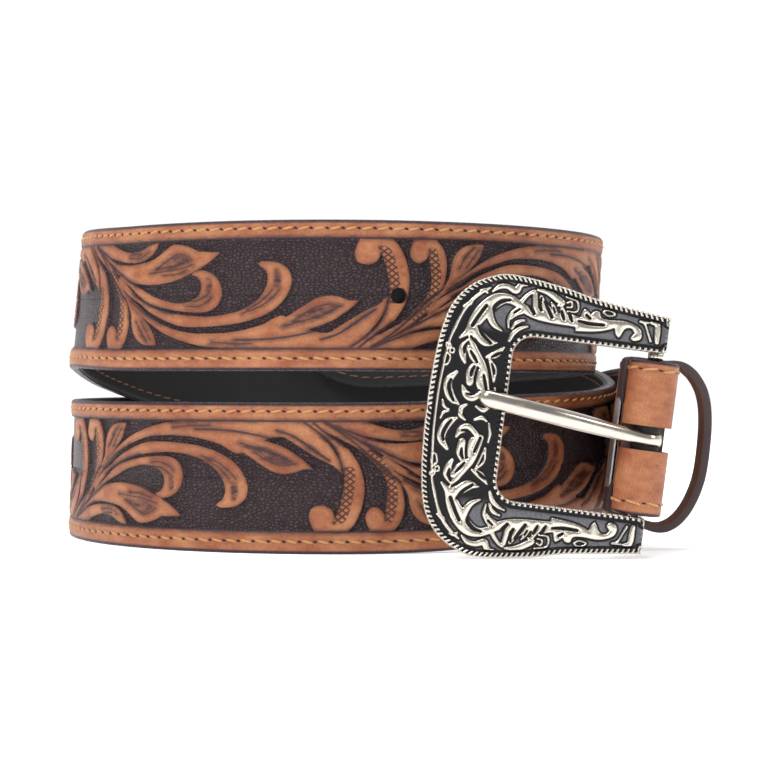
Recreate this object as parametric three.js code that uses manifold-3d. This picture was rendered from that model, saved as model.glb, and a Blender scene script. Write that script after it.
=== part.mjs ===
// A western belt of tooled leather, rolled up and standing on its lower edge, with a cast buckle
// hung on a steel bar at its outer end. Millimetres, +Z up; the buckle faces the viewer at -Y.
// The origin is the middle of the footprint. Angles round the coil are in degrees from its front,
// positive towards +X, and the strap runs from the buckle inwards to its tip.

import * as THREE from 'three';
import { mergeVertices } from 'three/addons/utils/BufferGeometryUtils.js';
import Module from 'manifold-3d';

const wasm = await Module();
wasm.setup();

// The strap: tooled leather outside, a thin lining inside
const STRAP_WIDTH = 38;
const LEATHER_THICKNESS = 2.3;
const LINING_THICKNESS = 1.0;
const LINING_INSET = 0.3;
const EDGE_BEVEL = 0.5;
const CLEARANCE = 0.3;
const STRAP_THICKNESS = LEATHER_THICKNESS + CLEARANCE + LINING_THICKNESS;
const TIP_LENGTH = 26;
const TIP_END_WIDTH = 7;
const TIP_STEPS = 7;

// The holes for the prong, counted from the tip
const HOLE_COUNT = 5;
const HOLE_DIAMETER = 4;
const HOLE_SIDES = 16;
const HOLE_PITCH = 25.4;
const FIRST_HOLE_FROM_TIP = 121.6;

// The coil: a layer is one strap thickness and a little play, and layer 0 has this radius
const COIL_RADIUS = 74.5;
const LAYER_PLAY = 0.7;
const LAYER_PITCH = STRAP_THICKNESS + LAYER_PLAY;
const COIL_STEP = 6;

// Sections round the coil: the layer, the lower edge's rise as a share of the strap's width,
// and the lean of the strap's upper edge outwards in degrees
const COIL_SECTIONS = [
  { turn: -630, layer: 1.45, rise: 0.24, lean: 1.5 },
  { turn: -616, layer: 1.42, rise: 0.215, lean: 1 },
  { turn: -585, layer: 1.35, rise: 0.07, lean: 0 },
  { turn: -560, layer: 1.3, rise: 0, lean: 0 },
  { turn: -540, layer: 1.25, rise: 0, lean: 0 },
  { turn: -495, layer: 0.95, rise: 0, lean: 0 },
  { turn: -475, layer: 0.7, rise: 0, lean: -0.6 },
  { turn: -450, layer: 0.3, rise: 0, lean: -1.2 },
  { turn: -405, layer: 0.12, rise: 0, lean: 0 },
  { turn: -360, layer: 0, rise: 0, lean: 0 },
  { turn: -342, layer: 0.05, rise: 0.01, lean: 0 },
  { turn: -327, layer: 0.12, rise: 0.042, lean: 0 },
  { turn: -295, layer: 0.27, rise: 0.08, lean: 0 },
  { turn: -270, layer: 0.35, rise: 0.145, lean: 0 },
  { turn: -225, layer: 0.3, rise: 0.395, lean: 0 },
  { turn: -180, layer: 0, rise: 0.645, lean: 0 },
  { turn: -135, layer: -0.35, rise: 0.895, lean: -2 },
  { turn: -113, layer: -0.27, rise: 1.06, lean: -4.2 },
  { turn: -90, layer: -0.16, rise: 1.21, lean: -6 },
  { turn: -45, layer: -0.05, rise: 1.21, lean: -3 },
  { turn: 0, layer: 0, rise: 1.21, lean: 0 },
  { turn: 45, layer: -0.4, rise: 1.2, lean: 1.5 },
  { turn: 90, layer: -0.85, rise: 1.185, lean: 3.4 },
  { turn: 135, layer: -1.2, rise: 1.12, lean: 1.5 },
  { turn: 165, layer: -1.5, rise: 1.08, lean: 0 },
  { turn: 193, layer: -1.9, rise: 1.05, lean: 0 },
];

// The bar stands ahead of the coil, and the strap folds round it and comes back as a sewn tab
const BAR_AHEAD = 9.5;
const BAR_DRIFT = 4.6;
const BAR_RISE = 0.28;
const BAR_LEAN = 7.3;
const BAR_DIAMETER = 2.8;
const FOLD_SLACK = 1.1;
const THROAT_LENGTH = 15;
const TAB_LENGTH = 43;
const FOLD_STEPS = 10;
const LEAD_STEP = 7;

// The slot in the fold for the prong
const SLOT_HEIGHT = 6;
const SLOT_DEPTH = 5.6;

// The keeper loop round both layers, and the plate that closes it on the tab
const KEEPER_THICKNESS = 2.2;
const KEEPER_SKIVED = 1.2;
const KEEPER_WIDTH = 9;
const KEEPER_BACK = 19.5;
const KEEPER_BULGE = 14;
const KEEPER_DROP = 3.2;
const KEEPER_CORNER = 0.8;
const KEEPER_STEPS = 10;
const PLATE_TOP = 9;
const PLATE_BOTTOM = -14;

// Where the keeper's free side starts to curve and how full the curve is, as shares of its reach
// to the right and of its top and bottom
const KEEPER_ARCH = {
  topStart: 0.25, topPull: 0.78, sideTopPull: 0.68, sideMiddle: 0.08,
  sideBottomPull: 0.58, bottomPull: 0.8, bottomEnd: 0.4,
};

// The cast frame, in its own plane: it reaches from the bar to its far end
const FRAME_REACH = 54.6;
const FRAME_END_WIDTH = 19.3;
const FRAME_SHOULDER = 14.6;
const FRAME_SLIDE = 0.8;
const OPENING_PLAY = 1.2;
const OPENING_HALF = STRAP_WIDTH / 2 + OPENING_PLAY;
const OPENING_CORNER = 5;
const FRAME_AHEAD = 2.6;
const FRAME_THICKNESS = 2.3;
const FRAME_BEVEL = 0.4;
const RIM_HEIGHT = 0.8;
const RIM_WIDTH = 1.5;
const RELIEF_HEIGHT = 0.6;
const ROPE_PITCH = 2.5;
const ROPE_HEIGHT = 0.4;
const ROPE_SLANT = 30;
const ROPE_BEAD = { length: 0.5, width: 0.9 };
const OUTLINE_STEPS = 26;
const CORNER_STEPS = 6;
const LUG_WALL = 0.8;
const LUG_DEPTH = 5;
const LUG_CAP = 1;
const ROUND_SIDES = 20;

// Points of the frame's outline: along as a share of its reach, across as a share of its half height
const FRAME_OUTLINE = [
  { along: 0.29, across: 0.9 },
  { along: 0.47, across: 0.96 },
  { along: 0.69, across: 1 },
  { along: 0.79, across: 0.965 },
  { along: 0.87, across: 0.895 },
  { along: 0.93, across: 0.785 },
  { along: 0.967, across: 0.645 },
  { along: 0.99, across: 0.42 },
  { along: 1, across: 0.14 },
];
const ARM_END_ACROSS = 0.835;

// Leaves of the relief on the upper half, mirrored below: start, bend and end of the spine as
// shares of the reach and the half height, and the width as a share of the shoulder
const RELIEF_LEAVES = [
  { start: [0.853, 0.564], bend: [0.8, 0.9], end: [0.626, 0.815], width: 0.18 },
  { start: [0.64, 0.722], bend: [0.53, 0.71], end: [0.38, 0.717], width: 0.14 },
  { start: [0.615, 0.722], bend: [0.604, 0.826], end: [0.566, 0.905], width: 0.14 },
  { start: [0.524, 0.714], bend: [0.54, 0.815], end: [0.52, 0.884], width: 0.12 },
  { start: [0.458, 0.722], bend: [0.454, 0.775], end: [0.44, 0.832], width: 0.1 },
  { start: [0.557, 0.913], bend: [0.487, 0.922], end: [0.447, 0.855], width: 0.09 },
  { start: [0.374, 0.717], bend: [0.256, 0.728], end: [0.137, 0.757], width: 0.18 },
  { start: [0.13, 0.766], bend: [0.06, 0.757], end: [0.106, 0.665], width: 0.1 },
  { start: [0.344, 0.751], bend: [0.33, 0.795], end: [0.339, 0.824], width: 0.1 },
  { start: [0.198, 0.717], bend: [0.183, 0.688], end: [0.172, 0.656], width: 0.1 },
  { start: [0.07, 0.78], bend: [0.011, 0.763], end: [0.026, 0.653], width: 0.11 },
  { start: [0.256, 0.815], bend: [0.229, 0.838], end: [0.201, 0.818], width: 0.07 },
  { start: [0.756, 0.864], bend: [0.714, 0.934], end: [0.658, 0.89], width: 0.08 },
  { start: [0.656, 0.893], bend: [0.63, 0.936], end: [0.588, 0.939], width: 0.08 },
  { start: [0.78, 0.717], bend: [0.762, 0.613], end: [0.701, 0.59], width: 0.11 },
  { start: [0.826, 0.595], bend: [0.799, 0.451], end: [0.712, 0.497], width: 0.13 },
  { start: [0.615, 0.746], bend: [0.679, 0.702], end: [0.674, 0.627], width: 0.11 },
  { start: [0.885, 0.497], bend: [0.866, 0.546], end: [0.837, 0.543], width: 0.08 },
  { start: [0.835, 0.535], bend: [0.808, 0.379], end: [0.731, 0.179], width: 0.11 },
  { start: [0.852, 0.471], bend: [0.896, 0.387], end: [0.844, 0.324], width: 0.1 },
  { start: [0.795, 0.327], bend: [0.859, 0.188], end: [0.78, 0.199], width: 0.1 },
  { start: [0.756, 0.376], bend: [0.709, 0.387], end: [0.69, 0.46], width: 0.1 },
  { start: [0.844, 0.159], bend: [0.837, 0.026], end: [0.753, 0.127], width: 0.1 },
  { start: [0.881, 0.251], bend: [0.95, 0.142], end: [0.855, 0.032], width: 0.12 },
  { start: [0.885, 0.76], bend: [0.866, 0.806], end: [0.842, 0.844], width: 0.07 },
  { start: [0.925, 0.578], bend: [0.919, 0.636], end: [0.897, 0.708], width: 0.06 },
];
const LEAF_STEPS = 4;

// The prong, and its shank's sections: along as a share of its reach, lift as a share of the way
// to the frame's face, and thickness as a share of the tip's
const PRONG_REACH = 42.6;
const PRONG_SKEW = 5;
const PRONG_TIP_DIAMETER = 4.4;
const PRONG_EYE_WALL = 1.4;
const PRONG_EYE_WIDTH = 4.4;
const PRONG_SIDES = 12;
const SHANK_SECTIONS = [
  { along: 0.03, lift: 0.2, thickness: 0.52 },
  { along: 0.12, lift: 0.42, thickness: 0.6 },
  { along: 0.25, lift: 0.68, thickness: 0.7 },
  { along: 0.42, lift: 0.9, thickness: 0.82 },
  { along: 0.6, lift: 1, thickness: 0.92 },
  { along: 0.9, lift: 1, thickness: 1 },
  { along: 0.96, lift: 1, thickness: 0.92 },
  { along: 0.99, lift: 1, thickness: 0.66 },
  { along: 1, lift: 1, thickness: 0.3 },
];

const DEGREE = Math.PI / 180;
const UP = new THREE.Vector3(0, 0, 1);

function material(color, roughness, metalness) {
  return new THREE.MeshStandardMaterial({ color, roughness, metalness });
}

function closedGeometry(points, triangles) {
  const geometry = new THREE.BufferGeometry();
  geometry.setAttribute('position', new THREE.Float32BufferAttribute(points, 3));
  geometry.setIndex(triangles);
  return geometry;
}

function toSolid(geometry) {
  const bare = geometry.clone();
  bare.deleteAttribute('normal');
  bare.deleteAttribute('uv');
  const merged = mergeVertices(bare, 1e-4);
  return new wasm.Manifold(new wasm.Mesh({
    numProp: 3,
    vertProperties: new Float32Array(merged.attributes.position.array),
    triVerts: new Uint32Array(merged.index.array),
  }));
}

function fromSolid(solid) {
  const mesh = solid.getMesh();
  return closedGeometry(Array.from(mesh.vertProperties), Array.from(mesh.triVerts));
}

// Joins rings of points, all of one count, into a closed solid. Two lofts that lie face to face
// on a twisting run take opposite diagonals, because their rings run opposite ways there
function loft(rings, otherDiagonal = false) {
  const count = rings[0].length;
  const points = rings.flat().flatMap((point) => point.toArray());
  const triangles = [];
  for (let i = 0; i < rings.length - 1; i += 1) {
    const here = i * count;
    const there = here + count;
    for (let j = 0; j < count; j += 1) {
      const k = (j + 1) % count;
      if (otherDiagonal) {
        triangles.push(here + j, here + k, there + j, here + k, there + k, there + j);
      } else {
        triangles.push(here + j, there + k, there + j, here + j, here + k, there + k);
      }
    }
  }
  const last = (rings.length - 1) * count;
  for (let j = 1; j < count - 1; j += 1) {
    triangles.push(0, j + 1, j, last, last + j, last + j + 1);
  }
  return closedGeometry(points, triangles);
}

// The strap's run

const sectionAt = new THREE.CubicInterpolant(
  COIL_SECTIONS.map((row) => row.turn),
  COIL_SECTIONS.flatMap((row) => [row.layer, row.rise, row.lean]),
  3,
);

// The lower edge never goes below the table
function coilPoint(turn) {
  const [layer, rise, lean] = sectionAt.evaluate(turn);
  const radius = COIL_RADIUS + layer * LAYER_PITCH;
  const angle = turn * DEGREE;
  const edge = new THREE.Vector3(radius * Math.sin(angle), -radius * Math.cos(angle),
    Math.max(rise, 0) * STRAP_WIDTH);
  return { edge, lean: lean * DEGREE };
}

function coilStation(turn) {
  const first = COIL_SECTIONS[0].turn;
  const last = COIL_SECTIONS[COIL_SECTIONS.length - 1].turn;
  const { edge, lean } = coilPoint(turn);
  const before = coilPoint(Math.max(turn - 1, first)).edge;
  const after = coilPoint(Math.min(turn + 1, last)).edge;
  const run = after.sub(before).normalize();
  const up = UP.clone().addScaledVector(run, -run.z).normalize();
  const out = new THREE.Vector3().crossVectors(run, up);
  up.multiplyScalar(Math.cos(lean)).addScaledVector(out, Math.sin(lean));
  const mid = edge.clone();
  mid.z += up.z * STRAP_WIDTH / 2;
  return { mid, up };
}

// The bar's own axes: side across the fold, back away from the viewer, and up along the bar
const coilStart = coilStation(COIL_SECTIONS[0].turn);
const barUp = new THREE.Vector3(Math.sin(BAR_LEAN * DEGREE), 0, Math.cos(BAR_LEAN * DEGREE));
const barSide = new THREE.Vector3(barUp.z, 0, -barUp.x);
const barCentre = new THREE.Vector3(
  coilStart.mid.x - BAR_DRIFT,
  -(COIL_RADIUS + BAR_AHEAD),
  (BAR_RISE + barUp.z / 2) * STRAP_WIDTH,
);

function atBar(side, back, up) {
  return barCentre.clone().addScaledVector(barSide, side).addScaledVector(barUp, up)
    .add(new THREE.Vector3(0, back, 0));
}

const foldRadius = BAR_DIAMETER / 2 + FOLD_SLACK + STRAP_THICKNESS / 2;
const pairHalf = (STRAP_THICKNESS + CLEARANCE) / 2;

// Half the distance between the two layers' middles, from the bar backwards
function layerOffset(back) {
  return THREE.MathUtils.lerp(foldRadius, pairHalf, THREE.MathUtils.smoothstep(back, 0, THROAT_LENGTH));
}

function spaced(from, to, step) {
  const count = Math.max(1, Math.round(Math.abs(to - from) / step));
  return Array.from({ length: count + 1 }, (_, i) => from + (to - from) * i / count);
}

function strapStations() {
  const stations = [];
  const throat = spaced(THROAT_LENGTH, 0, THROAT_LENGTH / 4);
  const tab = [...spaced(TAB_LENGTH, THROAT_LENGTH, LEAD_STEP).slice(0, -1), ...throat];
  for (const back of tab) {
    stations.push({ mid: atBar(-layerOffset(back), back, 0), up: barUp });
  }
  for (let i = 1; i < FOLD_STEPS; i += 1) {
    const angle = Math.PI * i / FOLD_STEPS;
    const side = -foldRadius * Math.cos(angle);
    stations.push({ mid: atBar(side, -foldRadius * Math.sin(angle), 0), up: barUp });
  }
  for (const back of throat.toReversed()) {
    stations.push({ mid: atBar(layerOffset(back), back, 0), up: barUp });
  }
  const throatEnd = stations[stations.length - 1];
  for (const y of spaced(throatEnd.mid.y, coilStart.mid.y, LEAD_STEP).slice(1, -1)) {
    const share = THREE.MathUtils.smoothstep(y, throatEnd.mid.y, coilStart.mid.y);
    const mid = throatEnd.mid.clone().lerp(coilStart.mid, share);
    mid.y = y;
    stations.push({ mid, up: barUp.clone().lerp(coilStart.up, share).normalize() });
  }
  const tipTurn = COIL_SECTIONS[COIL_SECTIONS.length - 1].turn;
  const tipStart = tipTurn - TIP_LENGTH / (COIL_RADIUS * DEGREE);
  const turns = spaced(COIL_SECTIONS[0].turn, tipStart, COIL_STEP);
  for (let i = 1; i <= TIP_STEPS; i += 1) {
    turns.push(tipStart + (tipTurn - tipStart) * Math.sin(i / TIP_STEPS * Math.PI / 2));
  }
  turns.forEach((turn) => stations.push(coilStation(turn)));

  // Each station gets its distance from the tab's end and its outward direction
  stations.forEach((station, i) => {
    const before = stations[Math.max(i - 1, 0)];
    const after = stations[Math.min(i + 1, stations.length - 1)];
    const run = after.mid.clone().sub(before.mid).normalize();
    station.out = new THREE.Vector3().crossVectors(run, station.up).normalize();
    station.length = i === 0 ? 0 : before.length + station.mid.distanceTo(before.mid);
  });
  return stations;
}

const stations = strapStations();
const strapLength = stations[stations.length - 1].length;

// The strap's full width, narrowing in a round point over the tip's length
function widthAt(length) {
  const into = THREE.MathUtils.clamp((length - (strapLength - TIP_LENGTH)) / TIP_LENGTH, 0, 1);
  return TIP_END_WIDTH + (STRAP_WIDTH - TIP_END_WIDTH) * Math.sqrt(1 - into ** 2.2);
}

function strapPoint(station, across, outward) {
  return station.mid.clone().addScaledVector(station.up, across).addScaledVector(station.out, outward);
}

function stationAt(length) {
  const next = stations.findIndex((station) => station.length >= length);
  const [a, b] = [stations[next - 1], stations[next]];
  const share = (length - a.length) / (b.length - a.length);
  return {
    mid: a.mid.clone().lerp(b.mid, share),
    up: a.up.clone().lerp(b.up, share).normalize(),
    out: a.out.clone().lerp(b.out, share).normalize(),
  };
}

function turnedTo(geometry, position, axis) {
  const turn = new THREE.Quaternion().setFromUnitVectors(new THREE.Vector3(0, 1, 0), axis);
  return geometry.applyMatrix4(new THREE.Matrix4().compose(position, turn, new THREE.Vector3(1, 1, 1)));
}

// Places a shape drawn in the bar's plane: x across, y along the bar, z towards the viewer
const facing = new THREE.Matrix4().makeBasis(barSide, barUp, new THREE.Vector3(0, -1, 0));

function placed(geometry, forward, up = 0) {
  geometry.translate(0, up, forward);
  return geometry.applyMatrix4(facing).translate(barCentre.x, barCentre.y, barCentre.z);
}

function holeCutters() {
  const cutters = [];
  for (let i = 0; i < HOLE_COUNT; i += 1) {
    const station = stationAt(strapLength - FIRST_HOLE_FROM_TIP - i * HOLE_PITCH);
    const radius = HOLE_DIAMETER / 2;
    const hole = new THREE.CylinderGeometry(radius, radius, 3 * STRAP_THICKNESS, HOLE_SIDES);
    cutters.push(toSolid(turnedTo(hole, station.mid, station.out)));
  }
  return cutters;
}

function slotCutter() {
  const outside = foldRadius + STRAP_THICKNESS;
  const slot = new THREE.BoxGeometry(2 * outside, SLOT_HEIGHT, outside + SLOT_DEPTH);
  return toSolid(placed(slot, (outside - SLOT_DEPTH) / 2));
}

const strapCutters = [...holeCutters(), slotCutter()];

function cutStrap(geometry) {
  return fromSolid(strapCutters.reduce((solid, cutter) => solid.subtract(cutter), toSolid(geometry)));
}

function strapLeather() {
  const inner = -STRAP_THICKNESS / 2 + LINING_THICKNESS + CLEARANCE;
  const outer = STRAP_THICKNESS / 2;
  const rings = stations.map((station) => {
    const half = widthAt(station.length) / 2;
    return [
      strapPoint(station, -half, inner),
      strapPoint(station, half, inner),
      strapPoint(station, half, outer - EDGE_BEVEL),
      strapPoint(station, half - EDGE_BEVEL, outer),
      strapPoint(station, -half + EDGE_BEVEL, outer),
      strapPoint(station, -half, outer - EDGE_BEVEL),
    ];
  });
  return cutStrap(loft(rings));
}

function strapLining() {
  const inner = -STRAP_THICKNESS / 2;
  const outer = inner + LINING_THICKNESS;
  const rings = stations.map((station) => {
    const half = widthAt(station.length) / 2 - LINING_INSET;
    return [
      strapPoint(station, -half, inner),
      strapPoint(station, half, inner),
      strapPoint(station, half, outer),
      strapPoint(station, -half, outer),
    ];
  });
  return cutStrap(loft(rings, true));
}

// Drops each point that repeats the next one round a closed outline
function distinct(points) {
  return points.filter((point, i) => point.distanceTo(points[(i + 1) % points.length]) > 1e-6);
}

// The keeper's outline seen from the front, grown outwards from its inner face
const keeperLeft = -(pairHalf + STRAP_THICKNESS / 2 + CLEARANCE);
const keeperTop = STRAP_WIDTH / 2 + CLEARANCE;
const keeperBottom = -(STRAP_WIDTH / 2 + KEEPER_DROP);

function keeperOutline(leftGrow, grow) {
  const left = keeperLeft - leftGrow;
  const right = -keeperLeft + KEEPER_BULGE + grow;
  const top = keeperTop + grow;
  const bottom = keeperBottom - grow;
  const corner = KEEPER_CORNER + grow;
  const arch = KEEPER_ARCH;
  const outline = new THREE.Path();
  outline.moveTo(left, bottom + corner);
  outline.lineTo(left, top - corner);
  outline.quadraticCurveTo(left, top, left + corner, top);
  outline.lineTo(right * arch.topStart, top);
  outline.bezierCurveTo(
    right * arch.topPull, top, right, top * arch.sideTopPull, right, top * arch.sideMiddle);
  outline.bezierCurveTo(
    right, bottom * arch.sideBottomPull, right * arch.bottomPull, bottom, right * arch.bottomEnd, bottom);
  outline.lineTo(left + corner, bottom);
  outline.quadraticCurveTo(left, bottom, left, bottom + corner);
  return distinct(outline.getPoints(KEEPER_STEPS)).reverse();
}

function keeperLoop() {
  const shape = new THREE.Shape(keeperOutline(KEEPER_SKIVED, KEEPER_THICKNESS));
  shape.holes.push(new THREE.Path(keeperOutline(0, 0)));
  const loop = new THREE.ExtrudeGeometry(shape, { depth: KEEPER_WIDTH, bevelEnabled: false });
  const gapHeight = PLATE_TOP - PLATE_BOTTOM + 2 * CLEARANCE;
  const gap = new THREE.BoxGeometry(3 * KEEPER_SKIVED, gapHeight, 2 * KEEPER_WIDTH);
  gap.translate(keeperLeft - KEEPER_SKIVED / 2, (PLATE_TOP + PLATE_BOTTOM) / 2, 0);
  const back = -(KEEPER_BACK + KEEPER_WIDTH);
  const gapSolid = toSolid(placed(gap, back + KEEPER_WIDTH / 2));
  return fromSolid(toSolid(placed(loop, back)).subtract(gapSolid));
}

function keeperPlate() {
  const plate = new THREE.BoxGeometry(KEEPER_SKIVED, PLATE_TOP - PLATE_BOTTOM, KEEPER_WIDTH);
  plate.translate(keeperLeft - KEEPER_SKIVED / 2, (PLATE_TOP + PLATE_BOTTOM) / 2, 0);
  return placed(plate, -KEEPER_BACK - KEEPER_WIDTH / 2);
}

// The buckle's frame is drawn with its bar at x = 0 and its far end towards -x

const frameHalf = OPENING_HALF + FRAME_SHOULDER;
const lugRadius = BAR_DIAMETER / 2 + CLEARANCE + LUG_WALL;
const barHalf = OPENING_HALF + LUG_DEPTH - LUG_CAP;

function halfOutline() {
  const points = FRAME_OUTLINE.map(
    (row) => new THREE.Vector3(-row.along * FRAME_REACH, row.across * frameHalf, 0));
  const start = new THREE.Vector3(0, ARM_END_ACROSS * frameHalf, 0);
  return new THREE.CatmullRomCurve3([start, ...points]).getPoints(OUTLINE_STEPS);
}

// The opening's edge from the middle of the far end to the arm's end, upper half
function halfOpening(grow) {
  const path = new THREE.Path();
  const end = -(FRAME_REACH - FRAME_END_WIDTH) - grow;
  const side = OPENING_HALF + grow;
  const corner = OPENING_CORNER + grow;
  path.moveTo(end, 0);
  path.lineTo(end, side - corner);
  path.absarc(end + corner, side - corner, corner, Math.PI, Math.PI / 2, true);
  path.lineTo(lugRadius - Math.max(grow, 0), side);
  return path.getPoints(CORNER_STEPS);
}

// A closed outline of the frame, drawn in from both edges by the inset
function frameShape(inset) {
  const outer = halfOutline();
  const drawn = outer.map((point, i) => {
    const before = outer[Math.max(i - 1, 0)];
    const after = outer[Math.min(i + 1, outer.length - 1)];
    const run = after.clone().sub(before).normalize();
    return new THREE.Vector2(point.x - run.y * inset, point.y + run.x * inset);
  });
  const armEnd = new THREE.Vector2(lugRadius - inset, drawn[0].y);
  const opening = halfOpening(inset);
  const upper = [...opening, armEnd, ...drawn];
  const lower = upper.map((point) => new THREE.Vector2(point.x, -point.y)).reverse();
  return new THREE.Shape(distinct([...upper, ...lower]));
}

function extruded(shape, depth) {
  return new THREE.ExtrudeGeometry(shape, { depth, bevelEnabled: false });
}

const frameFloor = FRAME_AHEAD + FRAME_THICKNESS;

function leafOutline(leaf, mirror) {
  const point = ([along, across]) => new THREE.Vector2(-along * FRAME_REACH, mirror * across * frameHalf);
  const spine = new THREE.QuadraticBezierCurve(point(leaf.start), point(leaf.bend), point(leaf.end));
  const edges = [[], []];
  for (let i = 1; i < LEAF_STEPS; i += 1) {
    const share = i / LEAF_STEPS;
    const middle = spine.getPoint(share);
    const run = spine.getTangent(share);
    const half = leaf.width * FRAME_SHOULDER / 2 * Math.sin(Math.PI * share) ** 0.6;
    edges[0].push(new THREE.Vector2(middle.x - run.y * half, middle.y + run.x * half));
    edges[1].unshift(new THREE.Vector2(middle.x + run.y * half, middle.y - run.x * half));
  }
  return new THREE.Shape([spine.getPoint(0), ...edges[0], spine.getPoint(1), ...edges[1]]);
}

// Slanted beads like a twisted rope along a row of points
function ropeBeads(points, out) {
  const curve = new THREE.CatmullRomCurve3(points.map((point) => new THREE.Vector3(point.x, point.y, 0)));
  const count = Math.round(curve.getLength() / ROPE_PITCH);
  const slant = ROPE_SLANT * DEGREE;
  return Array.from({ length: count }, (_, i) => {
    const share = (i + 0.5) / count;
    const at = curve.getPointAt(share);
    const run = curve.getTangentAt(share);
    const bead = new THREE.BoxGeometry(
      ROPE_PITCH * ROPE_BEAD.length, RIM_WIDTH * ROPE_BEAD.width, ROPE_HEIGHT + RIM_HEIGHT);
    bead.rotateZ(Math.atan2(run.y, run.x) + out * slant);
    bead.translate(at.x, at.y, 0);
    return toSolid(placed(bead, frameFloor + (RIM_HEIGHT + ROPE_HEIGHT) / 2 - CLEARANCE / 2, FRAME_SLIDE));
  });
}

function mirrored(points) {
  return points.map((point) => new THREE.Vector2(point.x, -point.y)).reverse();
}

function buckleFrame() {
  const body = toSolid(placed(extruded(frameShape(FRAME_BEVEL), FRAME_THICKNESS), FRAME_AHEAD, FRAME_SLIDE));
  const waist = extruded(frameShape(0), FRAME_THICKNESS - 2 * FRAME_BEVEL);
  const middle = toSolid(placed(waist, FRAME_AHEAD + FRAME_BEVEL, FRAME_SLIDE));
  const rimTop = toSolid(placed(extruded(frameShape(FRAME_BEVEL), RIM_HEIGHT), frameFloor, FRAME_SLIDE));
  const panel = frameShape(FRAME_BEVEL + RIM_WIDTH);
  const field = toSolid(placed(extruded(panel, RIM_HEIGHT), frameFloor, FRAME_SLIDE));
  const leaves = RELIEF_LEAVES.flatMap((leaf) => [1, -1].map((mirror) => (
    toSolid(placed(
      extruded(leafOutline(leaf, mirror), RELIEF_HEIGHT + CLEARANCE), frameFloor - CLEARANCE, FRAME_SLIDE))
  )));
  const relief = wasm.Manifold.union(leaves).intersect(toSolid(
    placed(extruded(panel, RIM_HEIGHT + FRAME_THICKNESS), frameFloor - CLEARANCE, FRAME_SLIDE)));
  const inset = FRAME_BEVEL + RIM_WIDTH / 2;
  const outerRow = halfOutline().map((point) => point.clone().multiplyScalar(1 - inset / frameHalf));
  const innerRow = halfOpening(inset).slice(1);
  const beads = [outerRow, innerRow].flatMap((row, i) => [
    ...ropeBeads(row, i === 0 ? 1 : -1), ...ropeBeads(mirrored(row), i === 0 ? 1 : -1)]);
  const lugs = [1, -1].map((side) => {
    const start = OPENING_HALF + FRAME_BEVEL;
    const lug = new THREE.CylinderGeometry(lugRadius, lugRadius, LUG_DEPTH, ROUND_SIDES);
    const web = new THREE.BoxGeometry(2 * lugRadius, LUG_DEPTH, FRAME_AHEAD + FRAME_BEVEL);
    web.translate(0, 0, (FRAME_AHEAD + FRAME_BEVEL) / 2);
    const up = side * (start + LUG_DEPTH / 2) + FRAME_SLIDE;
    return toSolid(placed(lug, 0, up)).add(toSolid(placed(web, 0, up)));
  });
  const boreRadius = BAR_DIAMETER / 2 + CLEARANCE;
  const bore = new THREE.CylinderGeometry(boreRadius, boreRadius, 2 * (barHalf + CLEARANCE), ROUND_SIDES);
  const solid = wasm.Manifold.union([body, middle, rimTop.subtract(field), relief, ...beads, ...lugs]);
  return fromSolid(solid.subtract(toSolid(placed(bore, 0, FRAME_SLIDE))));
}

function buckleBar() {
  const bar = new THREE.CylinderGeometry(BAR_DIAMETER / 2, BAR_DIAMETER / 2, 2 * barHalf, ROUND_SIDES);
  return placed(bar, 0, FRAME_SLIDE);
}

function prong() {
  const eyeInner = BAR_DIAMETER / 2 + CLEARANCE;
  const eyeOuter = eyeInner + PRONG_EYE_WALL;
  const tipRadius = PRONG_TIP_DIAMETER / 2;
  const faceForward = frameFloor + RIM_HEIGHT + ROPE_HEIGHT + CLEARANCE + tipRadius;
  const heading = new THREE.Vector3(-PRONG_REACH, PRONG_SKEW, 0).normalize();
  const across = new THREE.Vector3(-heading.y, heading.x, 0);
  const rings = SHANK_SECTIONS.map((row) => {
    const centre = heading.clone().multiplyScalar(row.along * PRONG_REACH);
    centre.z = faceForward * row.lift;
    return Array.from({ length: PRONG_SIDES }, (_, i) => {
      const angle = 2 * Math.PI * i / PRONG_SIDES;
      const radius = tipRadius * row.thickness;
      return centre.clone().addScaledVector(across, radius * Math.cos(angle))
        .add(new THREE.Vector3(0, 0, radius * Math.sin(angle)));
    });
  });
  const shank = toSolid(placed(loft(rings), 0));
  const eye = toSolid(placed(
    new THREE.CylinderGeometry(eyeOuter, eyeOuter, PRONG_EYE_WIDTH, ROUND_SIDES), 0));
  const bore = toSolid(placed(
    new THREE.CylinderGeometry(eyeInner, eyeInner, 3 * PRONG_EYE_WIDTH, ROUND_SIDES), 0));
  return fromSolid(shank.add(eye).subtract(bore));
}

const leatherTan = material(0x9c5f3a, 0.5, 0);
const liningBlack = material(0x211d1f, 0.7, 0);
const keeperBrown = material(0x34282a, 0.6, 0);
const plateGrey = material(0xa9a6a6, 0.4, 0.9);
const antiqueSilver = material(0xc9c3ba, 0.3, 1);
const nickel = material(0xd6d0c8, 0.2, 1);

const belt = new THREE.Group();
for (const [name, geometry, finish] of [
  ['strap_leather', strapLeather(), leatherTan],
  ['strap_lining', strapLining(), liningBlack],
  ['keeper_loop', keeperLoop(), keeperBrown],
  ['keeper_plate', keeperPlate(), plateGrey],
  ['buckle_frame', buckleFrame(), antiqueSilver],
  ['buckle_bar', buckleBar(), nickel],
  ['prong', prong(), nickel],
]) {
  const mesh = new THREE.Mesh(geometry, finish);
  mesh.name = name;
  belt.add(mesh);
}

// The origin moves to the middle of the footprint
const bounds = new THREE.Box3().setFromObject(belt);
const footing = bounds.getCenter(new THREE.Vector3());
belt.children.forEach((mesh) => mesh.position.set(-footing.x, -footing.y, -bounds.min.z));

export default belt;
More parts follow.
